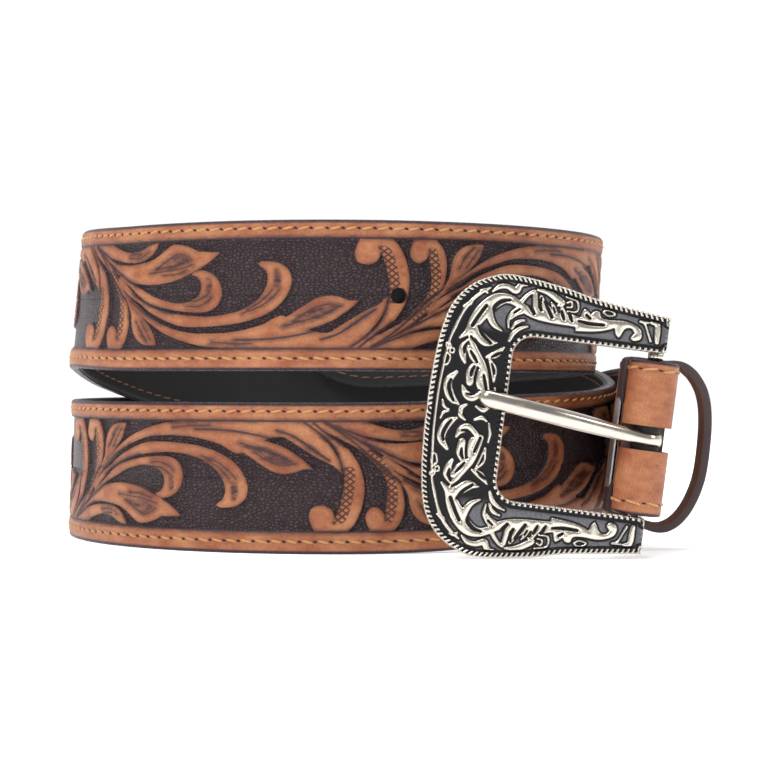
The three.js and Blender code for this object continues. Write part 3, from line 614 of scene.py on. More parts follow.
# %% [markdown]
# ## Carved leather, as a mesh
#
# The carving is real relief: each point of the strap's face is moved in or out by the pattern's
# distances. The ground goes down, leaf edges are rolled, knife cuts are narrow grooves, and the
# hollows are pressed with a thumb-shaped tool. The mesh is finest on the two bands in front. It
# also keeps the distances, so that the material's dye ends exactly where the relief does.

# %% Relief of the carving
LEATHER_OUT = STRAP_THICKNESS / 2
LINING_IN = -STRAP_THICKNESS / 2
LINING_THICKNESS = 1.0
LEATHER_IN = LINING_IN + LINING_THICKNESS
EDGE_ROUND = 0.7
# How deep each tool goes, in mm
GROUND_DEPTH = 0.75
LEAF_CROWN = 0.14
CUT_DEPTH = 0.34
VEIN_DEPTH = 0.2
HOLLOW_DEPTH = 0.22
HATCH_DEPTH = 0.16
SEAM_DEPTH = 0.16
PIT_DEPTH = 0.2
STITCH_PITCH = 3.9
CARVING_START = fold_length + 52
SLOT_HALF_HEIGHT = 3
SLOT_HALF_RUN = 12.35
HOLE_RADIUS = 2
HOLE_COUNT = 5
HOLE_PITCH = 25.4
FIRST_HOLE_FROM_TIP = 121.6
HOLES = [strap_length - FIRST_HOLE_FROM_TIP - HOLE_PITCH * i for i in range(HOLE_COUNT)]


def face_fields(along, across):
    """The fields that the mesh keeps, from the pattern's distances."""
    found = pattern_at(along, across)
    panel = np.minimum(found["edge"] - PANEL_EDGE, along - CARVING_START)
    inside = panel > 0
    to_hole = (along + STITCH_PITCH / 2) % STITCH_PITCH - STITCH_PITCH / 2
    off_row = (found["edge"] - STITCH_EDGE) * np.sign(across)
    return {
        "ground": np.minimum(found["leaf"], panel),
        "cut": np.minimum(np.where(inside, found["cut"], FAR), np.abs(panel)),
        "vein": np.where(inside, found["vein"], FAR),
        "hollow": np.where(inside, found["hollow"], FAR),
        "hatch": np.where(inside, found["hatch"], FAR),
        "edge": half_width(along) - np.abs(across),
        "pit": np.hypot(to_hole / 0.55, (off_row - 0.25 * to_hole) / 0.34),
        "row": np.abs(off_row),
    }


def relief(fields):
    """How far the carving moves the face out, in mm."""
    on_leaf = fields["ground"] < 0
    depth = -GROUND_DEPTH * smooth_share(fields["ground"], -0.1, 0.5)
    depth += LEAF_CROWN * smooth_share(-fields["ground"], 0.1, 1.4) * (fields["cut"] < FAR)
    depth -= CUT_DEPTH * np.exp(-(fields["cut"] / 0.3) ** 2) * on_leaf
    depth -= VEIN_DEPTH * np.exp(-(fields["vein"] / 0.24) ** 2) * on_leaf
    depth -= HOLLOW_DEPTH * smooth_share(-fields["hollow"], -0.1, 0.7)
    depth -= HATCH_DEPTH * smooth_share(-fields["hatch"], -0.1, 0.3)
    depth -= SEAM_DEPTH * np.exp(-(fields["row"] / 0.45) ** 2)
    return depth - PIT_DEPTH * smooth_share(-fields["pit"], -1.3, -0.5)


print("holes at", [round(centre) for centre in HOLES], "mm along the strap")


# %% [markdown]
# The belt has five punched holes and, in the fold, a slot for the prong. A boolean cut would leave
# ragged triangles in so fine a grid. Here the grid's points near a rim are moved onto it and the
# faces inside are left out, so that each rim is clean. The cut walls are added later.

# %% Holes through the strap
def kept_off(along, across, step):
    """Moves points near the rim of a hole or the slot onto it. Returns new places and what stays."""
    stays = np.ones(along.shape, bool)
    for centre in HOLES:
        radius = np.hypot(along - centre, across)
        stays &= radius > HOLE_RADIUS - step / 2
        near = np.abs(radius - HOLE_RADIUS) <= step / 2
        scale = np.where(near, HOLE_RADIUS / np.maximum(radius, 1e-6), 1)
        along, across = centre + (along - centre) * scale, across * scale
    run = along - fold_length
    in_slot = (np.abs(run) < SLOT_HALF_RUN + step / 2) & (np.abs(across) < SLOT_HALF_HEIGHT + step / 2)
    stays &= ~((np.abs(run) < SLOT_HALF_RUN - step / 2) & (np.abs(across) < SLOT_HALF_HEIGHT - step / 2))
    on_end = in_slot & (np.abs(np.abs(run) - SLOT_HALF_RUN) <= step / 2)
    on_side = in_slot & (np.abs(np.abs(across) - SLOT_HALF_HEIGHT) <= step / 2)
    along = np.where(on_end, fold_length + np.sign(run) * SLOT_HALF_RUN, along)
    across = np.where(on_side, np.sign(across) * SLOT_HALF_HEIGHT, across)
    return along, across, stays


print(HOLE_COUNT, "holes of", 2 * HOLE_RADIUS, "mm, and a slot of", 2 * SLOT_HALF_RUN, "mm")

# %% The leather's pieces
COARSE = 1
EDGE_ARC = np.radians([15, 35, 55, 75, 90])


def leather_piece(name, start, end, step):
    """One length of the carved leather: its face, painted edges and back, as a closed ring of columns."""
    step *= COARSE
    rows = np.linspace(start, end, int((end - start) / step) + 1)
    face = np.linspace(-1, 1, int((STRAP_WIDTH - 2 * EDGE_ROUND) / step) + 1)
    half = half_width(rows)[:, None]
    along = np.repeat(rows[:, None], len(face), 1)
    along, across, stays = kept_off(along, face * (half - EDGE_ROUND), step)
    fields = face_fields(along, across)
    outward = LEATHER_OUT + relief(fields)
    del fields["row"]
    rim = half - EDGE_ROUND + EDGE_ROUND * np.sin(EDGE_ARC)
    rim_out = np.broadcast_to(LEATHER_OUT - EDGE_ROUND + EDGE_ROUND * np.cos(EDGE_ARC), rim.shape)
    side = np.hstack([rim, half, half - 0.2])
    side_out = np.hstack([rim_out, np.full(half.shape, LEATHER_IN + 0.2), np.full(half.shape, LEATHER_IN)])
    middle = np.full(half.shape, float(SLOT_HALF_HEIGHT))
    back = np.hstack([middle, -middle])
    all_across = np.hstack([across, side, back, -side[:, ::-1]])
    all_out = np.hstack([outward, side_out, np.full(back.shape, LEATHER_IN), side_out[:, ::-1]])
    extra = all_across.shape[1] - across.shape[1]
    all_along = np.hstack([along, np.repeat(rows[:, None], extra, 1)])
    kept = np.hstack([stays, np.ones((len(rows), extra), bool)])
    points = on_strap(all_along, all_across, all_out).reshape(-1, 3)
    full = {}
    for field, values in fields.items():
        beyond = -0.5 if field == "edge" else FAR
        full[field] = np.hstack([values, np.full((len(rows), extra), beyond)]).ravel()
    full["place"] = np.stack([all_along, all_across, all_out], -1).reshape(-1, 3)
    columns = all_across.shape[1]
    faces = grid_faces(len(rows), columns, True, kept.ravel())
    in_slot = {i * columns + face.size + side.shape[1]
               for i in range(len(rows) - 1) if abs(rows[i] - fold_length) < SLOT_HALF_RUN}
    faces = [quad for quad in faces if quad[0] not in in_slot]
    if start == 0:
        faces.append(list(range(columns)))
    if end == strap_length:
        faces.append([(len(rows) - 1) * columns + j for j in reversed(range(columns))])
    return new_piece(name, points, faces, "strap", full)


fold_piece_end = coil_length[0] - 30
LEATHER_LENGTHS = [
    # name, start and end in mm along the strap, grid step in mm
    ("leather_fold", 0, fold_piece_end, 0.5),
    ("leather_outer_turn", fold_piece_end, length_at(-455), 0.55),
    ("leather_lower_front", length_at(-455), length_at(-325), 0.3),
    ("leather_side_and_back", length_at(-325), length_at(-98), 0.55),
    ("leather_upper_front", length_at(-98), length_at(62), 0.32),
    ("leather_inner_end", length_at(62), strap_length, 0.6),
]
leather_pieces = [leather_piece(*row) for row in LEATHER_LENGTHS]
for piece in leather_pieces:
    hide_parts("strap_leather")

# %% [markdown]
# The leather is vegetable-tanned cowhide: a smooth, slightly glossy grain with fine pores, tan where
# it is bare and nearly black-brown where the ground was dyed. The dye also runs a little way into
# each cut, and the rubbed edges are painted a dark purple brown. Noise in three sizes gives the
# clouds, streaks and pores. The distances that the mesh keeps become masks, one for each tool and
# dye, so no picture is needed.

# %% Colours and sizes of the tooled leather
TAN_LIGHT = linear("#b07650")
TAN_DEEP = linear("#8a4a2e")
TAN_SHADE = linear("#43211d")
GROUND_DYE = linear("#3a2226")
EDGE_PAINT = linear("#33212a")
HATCH_LINE = linear("#4a2a22")
# The pebbled ground's two colours: dye with painted shade in the creases, and dye with a painted highlight on
# the pebble tops
CREASE_DYE_AND_SHADE = linear("#0d070a")
PEBBLE_DYE_AND_HIGHLIGHT = linear("#482f35")
PIT_SHADE = linear("#1c0f0d")
# Sizes in mm. Real pores are finer than 0.35 mm and wouldn't show
PEBBLE_MM = 0.85
HATCH_MM = 1.25
HATCH_ANGLE = 52
PORE_MM = 0.35
STREAK_MM = 2
# Repeats in one mm: clouds of 9 mm, fibre bundles of 0.9 mm and a wander of the pebbles over 1.4 mm
CLOUDS = 0.11
FIBRES = 1.1
WANDER = 0.7
print("pebbles of", PEBBLE_MM, "mm and crossed lines every", HATCH_MM, "mm")

# %% Masks from the carving's distances
tooled, shader = new_material("veg_tanned_carved_leather")
place = add(tooled, "Attribute", {"attribute_name": "place"}).outputs["Vector"]
fields = {name: add(tooled, "Attribute", {"attribute_name": name}).outputs["Fac"]
          for name in ("ground", "cut", "vein", "hollow", "hatch", "edge", "pit")}
masks = {}
for name, field, low, high in [
    ("ground", "ground", 0.0, 0.16), ("soft_ground", "ground", -1.2, 0.1), ("cut", "cut", 0.42, 0.12),
    ("near_cut", "cut", 1.5, 0.1), ("vein", "vein", 0.3, 0.1), ("near_vein", "vein", 1.8, 0.1),
    ("hollow", "hollow", 0.3, -1.1), ("hatch", "hatch", 0.5, 0.3), ("edge", "edge", 0.75, 0.45),
    ("pit", "pit", 1.25, 0.75),
]:
    masks[name] = add(tooled, "MapRange", SOFT_RANGE, Value=fields[field],
                      From_Min=min(low, high), From_Max=max(low, high),
                      To_Min=float(low > high), To_Max=float(low < high)).outputs[0]
print(len(masks), "masks")

# %% Bare tan leather
# Clouds, streaks and fibres are mixed to one tone between a light and a deep tan, and the pores are
# dark specks on it
cloud = add(tooled, "TexNoise", Vector=place, Scale=CLOUDS, Detail=5.0, Roughness=0.6).outputs["Fac"]
pores = add(tooled, "TexNoise", Vector=place, Scale=1 / PORE_MM, Detail=3.0, Roughness=0.7).outputs["Fac"]
streak_place = add(tooled, "VectorMath", TIMES, i0=place, i1=(0.6, 1.5, 1)).outputs[0]
streaks = add(tooled, "TexNoise", Vector=streak_place, Scale=1 / STREAK_MM, Detail=6.0,
              Roughness=0.65).outputs["Fac"]
tone = add(tooled, "Math", {"operation": "MULTIPLY_ADD"}, i0=streaks, i1=0.5, i2=cloud).outputs[0]
fibre_place = add(tooled, "VectorMath", TIMES, i0=place, i1=(3.2, 0.8, 1)).outputs[0]
fibres = add(tooled, "TexNoise", Vector=fibre_place, Scale=FIBRES, Detail=6.0, Roughness=0.75).outputs["Fac"]
tone = add(tooled, "Math", {"operation": "MULTIPLY_ADD"}, i0=fibres, i1=0.6, i2=tone).outputs[0]
tone = add(tooled, "MapRange", Value=tone, From_Min=0.86, From_Max=1.22).outputs[0]
tan = add(tooled, "Mix", BLEND, i0=tone, i6=TAN_DEEP, i7=TAN_LIGHT).outputs[2]
speck = add(tooled, "MapRange", Value=pores, From_Min=0.55, From_Max=0.72, To_Max=0.5).outputs[0]
tan = add(tooled, "Mix", BLEND, i0=speck, i6=tan, i7=TAN_SHADE).outputs[2]

print("bare leather in", len(tooled.node_tree.nodes), "nodes so far")

# %% Dyes wiped over the tan
# The edge paint has bled a little into the pores beside it
bled = add(tooled, "Math", {"operation": "MULTIPLY_ADD"}, i0=fibres, i1=-1.6, i2=fields["edge"]).outputs[0]
masks["bleed"] = add(tooled, "MapRange", Value=bled, From_Min=-0.05, From_Max=0.25,
                     To_Min=1.0, To_Max=0.0).outputs[0]

# Each dye goes over the one before it, with its mask times a strength. Where it was wiped on by
# hand it is streaky
stain = add(tooled, "MapRange", Value=streaks, From_Min=0.38, From_Max=0.62,
            To_Min=0.35, To_Max=1.35).outputs[0]
DYES = [
    # mask, strength, dye, wiped on by hand
    ("soft_ground", 0.5, TAN_SHADE, True), ("near_cut", 0.6, TAN_SHADE, True),
    ("near_vein", 0.62, TAN_SHADE, True), ("hollow", 0.85, GROUND_DYE, True),
    ("bleed", 0.75, EDGE_PAINT, False), ("vein", 0.85, GROUND_DYE, False),
    ("cut", 0.92, GROUND_DYE, False),
]
for mask, strength, dye, wiped in DYES:
    amount = add(tooled, "Math", TIMES, i0=stain, i1=strength).outputs[0] if wiped else strength
    part = add(tooled, "Math", TIMES | {"use_clamp": True}, i0=masks[mask], i1=amount).outputs[0]
    tan = add(tooled, "Mix", BLEND, i0=part, i6=tan, i7=dye).outputs[2]

print(len(DYES), "dyes")

# %% Crossed lines in the horns
# Two waves along the diagonals
hatch_height = None
for turned in (HATCH_ANGLE, -HATCH_ANGLE):
    spun = add(tooled, "VectorRotate", {"rotation_type": "Z_AXIS"}, Vector=place, Angle=math.radians(turned))
    wave = add(tooled, "TexWave", {"bands_direction": "X", "wave_profile": "SIN"}, Vector=spun.outputs[0],
               Scale=2 * math.pi / 20 / HATCH_MM).outputs["Fac"]
    wave = add(tooled, "MapRange", SOFT_RANGE, Value=wave,
               From_Min=0.05, From_Max=0.4).outputs[0]
    hatch_height = wave if hatch_height is None else add(
        tooled, "Math", {"operation": "MINIMUM"}, i0=hatch_height, i1=wave).outputs[0]
hatched = add(tooled, "Mix", BLEND, i0=hatch_height, i6=HATCH_LINE, i7=tan).outputs[2]
tan = add(tooled, "Mix", BLEND, i0=masks["hatch"], i6=tan, i7=hatched).outputs[2]

print("crossed lines at", HATCH_ANGLE, "degrees to the belt")

# %% Pebbled ground
# Rounded cells, stretched a little along the belt. Their creases take the dye and are painted darker as
# painted shade, and each pebble's top is painted lighter as a painted highlight
wander = add(tooled, "TexNoise", Vector=place, Scale=WANDER, Detail=2.0).outputs["Color"]
wander = add(tooled, "VectorMath", TIMES, i0=wander, i1=(0.9, 0.9, 0.0)).outputs[0]
pebble_place = add(tooled, "VectorMath", {"operation": "MULTIPLY_ADD"}, i0=place, i1=(0.72, 1.15, 0.0),
                   i2=wander).outputs[0]
creases = add(tooled, "TexVoronoi", {"feature": "DISTANCE_TO_EDGE", "voronoi_dimensions": "2D"},
              Vector=pebble_place, Scale=1 / PEBBLE_MM).outputs["Distance"]
pebble_tone = add(tooled, "MapRange", SOFT_RANGE, Value=creases,
                  From_Min=0.02, From_Max=0.4).outputs[0]
ground = add(tooled, "Mix", BLEND, i0=pebble_tone, i6=CREASE_DYE_AND_SHADE, i7=PEBBLE_DYE_AND_HIGHLIGHT).outputs[2]
colour = add(tooled, "Mix", BLEND, i0=masks["ground"], i6=tan, i7=ground).outputs[2]
colour = add(tooled, "Mix", BLEND, i0=masks["pit"], i6=colour, i7=PIT_SHADE).outputs[2]
colour = add(tooled, "Mix", BLEND, i0=masks["edge"], i6=colour, i7=EDGE_PAINT).outputs[2]

print("ground, pits and painted edges are over the tan")

# %% Fine relief and gloss
# What is too fine for the mesh is a bump: pebbles, fibres and crossed lines, 0.26 mm high at most
pebble_part = add(tooled, "Math", TIMES, i0=masks["ground"], i1=pebble_tone).outputs[0]
pore_part = add(tooled, "Math", TIMES, i0=fibres, i1=0.5).outputs[0]
hatch_part = add(tooled, "Math", TIMES, i0=masks["hatch"], i1=hatch_height).outputs[0]
height = add(tooled, "Math", {"operation": "ADD"}, i0=pebble_part, i1=pore_part).outputs[0]
height = add(tooled, "Math", {"operation": "ADD"}, i0=height, i1=hatch_part).outputs[0]
bump = add(tooled, "Bump", Height=height, Strength=1.0, Distance=0.26 * MM).outputs[0]

# Waxed leather has a satin gloss, and the dyed ground is a little glossier than the tan
gloss = add(tooled, "MapRange", Value=masks["ground"], To_Min=0.47, To_Max=0.36).outputs[0]
set_sockets(tooled, shader, Base_Color=colour, Roughness=gloss, Normal=bump, IOR=1.5,
            Specular_IOR_Level=0.36)
for piece in leather_pieces:
    piece.data.materials.append(tooled)
print(tooled.name, "has", len(tooled.node_tree.nodes), "nodes")

# %% [markdown]
# ## Lining, cut walls and thread
#
# The lining is a thin black split leather. It is glued inside, and one line of stitches near each
# edge goes through both leathers. On the face the thread is golden tan and each stitch leans a
# little, since the needle's holes are slanted cuts. The thread is modelled stitch by stitch.

# %% Lining
LINING_INSET = 0.3
LINING_STEP = 1.2
LINING_COLUMNS = 34
lining_rows = np.linspace(0, strap_length, int(strap_length / (LINING_STEP * COARSE)) + 1)
lining_columns = np.linspace(-1, 1, int(LINING_COLUMNS / COARSE))
lining_half = half_width(lining_rows)[:, None] - LINING_INSET
along, across, stays = kept_off(np.repeat(lining_rows[:, None], len(lining_columns), 1),
                                lining_columns * lining_half, 1.1 * COARSE)
flank = np.hstack([lining_half, -lining_half])
all_across = np.hstack([across, flank])
all_out = np.hstack([np.full(across.shape, LINING_IN), np.full(flank.shape, LEATHER_IN)])
all_along = np.hstack([along, np.repeat(lining_rows[:, None], 2, 1)])
kept = np.hstack([stays, np.ones((len(lining_rows), 2), bool)])
faces = grid_faces(len(lining_rows), all_across.shape[1], True, kept.ravel())
lining = new_piece("lining", on_strap(all_along, all_across, all_out).reshape(-1, 3),
                   [quad[::-1] for quad in faces], "strap",
                   {"place": np.stack([all_along, all_across, all_out], -1).reshape(-1, 3)})
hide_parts("strap_lining")

# %% Lining leather
# Split leather is the hide's lower layer, dyed black: matte, with a short nap and hardly any gloss
split, shader = new_material("black_split_leather")
place = add(split, "Attribute", {"attribute_name": "place"}).outputs["Vector"]
nap = add(split, "TexNoise", Vector=place, Scale=2.2, Detail=6.0, Roughness=0.7).outputs["Fac"]
patch = add(split, "TexNoise", Vector=place, Scale=0.08, Detail=3.0).outputs["Fac"]
colour = add(split, "Mix", BLEND, i0=patch, i6=linear("#0d0b0d"), i7=linear("#191517")).outputs[2]
bump = add(split, "Bump", Height=nap, Strength=0.6, Distance=0.12 * MM).outputs[0]
set_sockets(split, shader, Base_Color=colour, Roughness=0.62, Normal=bump, IOR=1.5)
lining.data.materials.append(split)
print(split.name, "has", len(split.node_tree.nodes), "nodes")


# %% Walls of the holes and the slot
def cut_wall(name, along, across):
    """The cut edge of the leather round a hole, from the face to the lining."""
    levels = np.array([LEATHER_OUT + 0.02, LEATHER_OUT - 0.25, 0.5, LEATHER_IN, LINING_IN - 0.02])
    grow = np.array([1.03, 1, 1, 1, 1.03])
    middle = along.mean(), across.mean()
    points = [on_strap(middle[0] + (along - middle[0]) * g, middle[1] + (across - middle[1]) * g, level)
              for level, g in zip(levels, grow)]
    faces = grid_faces(len(levels), len(along), True)
    return new_piece(name, np.vstack(points), faces, "strap")


round_hole = np.radians(np.arange(0, 360, 7.5))
rim_along, rim_across = HOLE_RADIUS * np.cos(round_hole), HOLE_RADIUS * np.sin(round_hole)
walls = [cut_wall(f"prong_hole_{i + 1}", centre + rim_along, rim_across) for i, centre in enumerate(HOLES)]
slot_run = np.linspace(-SLOT_HALF_RUN, SLOT_HALF_RUN, 60)
slot_along = fold_length + np.concatenate([slot_run, slot_run[::-1]])
slot_across = np.repeat([-SLOT_HALF_HEIGHT, SLOT_HALF_HEIGHT], len(slot_run)).astype(float)
walls.append(cut_wall("prong_slot", slot_along, slot_across))

# Freshly cut leather shows matted brown fibres without a skin, so it is rough and has no gloss.
# The bundles are drawn 0.7 mm wide, coarser than real ones
FIBRES_PER_METRE = 1400.0
fibre, shader = new_material("cut_leather_fibre")
weave = add(fibre, "TexNoise", Scale=FIBRES_PER_METRE, Detail=4.0).outputs["Fac"]
colour = add(fibre, "Mix", BLEND, i0=weave, i6=linear("#2a1a17"), i7=linear("#5b3a2a")).outputs[2]
set_sockets(fibre, shader, Base_Color=colour, Roughness=0.8, IOR=1.5,
            Normal=add(fibre, "Bump", Height=weave, Strength=0.5, Distance=0.1 * MM).outputs[0])
for wall in walls:
    wall.data.materials.append(fibre)

# The punch pressed a smooth rim round each hole on the lining: out from the hole, and lift, in mm
RIM_LEVELS = [(0, 0), (0.2, 0.05), (0.9, 0.05), (1.3, -0.04)]
rim_faces = grid_faces(len(RIM_LEVELS), len(round_hole), True)
for i, centre in enumerate(HOLES):
    points = np.vstack([on_strap(centre + (HOLE_RADIUS + out) * np.cos(round_hole),
                                 (HOLE_RADIUS + out) * np.sin(round_hole), LINING_IN - lift)
                        for out, lift in RIM_LEVELS])
    rim = new_piece(f"lining_rim_{i + 1}", points, rim_faces, "strap", {"place": points})
    rim.data.materials.append(split)


# %% Stitches
LAST_STITCH_FROM_TIP = 6
STITCH_GAP = 0.3
stitch_starts = np.arange(STITCH_PITCH, strap_length - LAST_STITCH_FROM_TIP, STITCH_PITCH)


def thread(name, level, lift, slant, radius):
    """All stitches on one face of the strap, as one mesh of small rounded tubes."""
    start = np.tile(stitch_starts, 2)
    side = np.repeat([1.0, -1.0], len(stitch_starts))[:, None]
    share = np.linspace(0, 1, 7)
    thick = radius * np.array([0.25, 0.8, 1, 1, 1, 0.8, 0.25])
    arch = lift * np.array([-1.4, 0.2, 0.8, 1, 0.8, 0.2, -1.4])
    around = np.radians(np.arange(0, 360, 60))
    along = start[:, None] + STITCH_GAP + share * (STITCH_PITCH - 2 * STITCH_GAP)
    across = side * (half_width(along) - STITCH_EDGE) + PANEL_SHIFT + slant * (share - 0.5) * side
    points = on_strap(along[..., None] + 0 * around, across[..., None] + thick[:, None] * np.cos(around),
                      level + arch[:, None] + thick[:, None] * np.sin(around) * 0.9)
    tube = np.array(grid_faces(len(share), len(around), True))
    first_points = np.arange(len(start)) * len(share) * len(around)
    faces = (first_points[:, None, None] + tube).reshape(-1, 4).tolist()
    place = np.stack(np.broadcast_arrays(along[..., None], around / 6.28, side[..., None]), -1).reshape(-1, 3)
    return new_piece(name, points.reshape(-1, 3), faces, "strap", {"place": place})


face_thread = thread("face_thread", LEATHER_OUT - 0.12, lift=0.2, slant=0.75, radius=0.35)
back_thread = thread("back_thread", LINING_IN, lift=-0.16, slant=0.3, radius=0.26)

# %% Thread
# Bonded polyester has a soft sheen. Its twist is painted as slanted light and dark lines, one in
# about 0.7 mm of the thread: the dark lines are painted shade in the grooves between the plies
for piece, name, light, dark in [
    (face_thread, "golden_polyester_thread", "#d8a26c", "#966238"),
    (back_thread, "brown_polyester_thread", "#8a5a3a", "#4c3020"),
]:
    polyester, shader = new_material(name)
    place = add(polyester, "Attribute", {"attribute_name": "place"}).outputs["Vector"]
    twist = add(polyester, "TexWave", {"bands_direction": "DIAGONAL"}, Vector=place, Scale=1.4,
                Distortion=0.4).outputs["Fac"]
    # Painted shade: the twist's grooves take the dark colour
    colour = add(polyester, "Mix", BLEND, i0=twist, i6=linear(dark), i7=linear(light)).outputs[2]
    bump = add(polyester, "Bump", Height=twist, Strength=0.6, Distance=0.08 * MM).outputs[0]
    set_sockets(polyester, shader, Base_Color=colour, Roughness=0.45, Normal=bump, IOR=1.5)
    piece.data.materials.append(polyester)
print(len(stitch_starts), "stitches in each of two rows")

# %% [markdown]
# ## The cast buckle
#
# Such buckles are cast in a zinc alloy, plated with silver, blackened all over and rubbed back, so
# that raised scrolls shine and the ground stays black. The frame is drawn here as a band: rows run
# from one arm's end round to the other, and columns from the opening to the outer edge. Each point
# of its face is raised by drawn strokes, which swell and taper like the engraver's, and the same
# fields tell the material where it was rubbed bright.

# %% Sizes of the frame, in its own plane with the bar at x = 0
FRAME_REACH = 54.6
FRAME_HALF = 34.8
OPENING_END = -35.3
OPENING_HALF = 20.2
OPENING_CORNER = 5
ARM_END = 1.7
FRAME_SLIDE = 0.8
FRAME_BACK = 2.6
FRAME_FACE = 4.9
OUTER_POINTS = [
    (ARM_END, 28.2), (1.35, 28.95), (0.4, 29.2), (-15.8, 31.3), (-25.7, 33.4), (-37.7, FRAME_HALF),
    (-43.1, 33.6), (-47.5, 31.1), (-50.8, 27.3), (-52.8, 22.4), (-54.05, 14.6), (-FRAME_REACH, 4.9),
    (-FRAME_REACH, 0),
]
print("the frame is", 2 * FRAME_HALF, "by", round(FRAME_REACH + ARM_END, 1), "mm")


def on_frame(x, y, z):
    """Places in millimetres of points in the frame's plane and in front of it."""
    x, y, z = np.broadcast_arrays(*(np.asarray(v, float) for v in (x, y, z)))
    return at_bar(x, -z, y + FRAME_SLIDE) + FOOTING


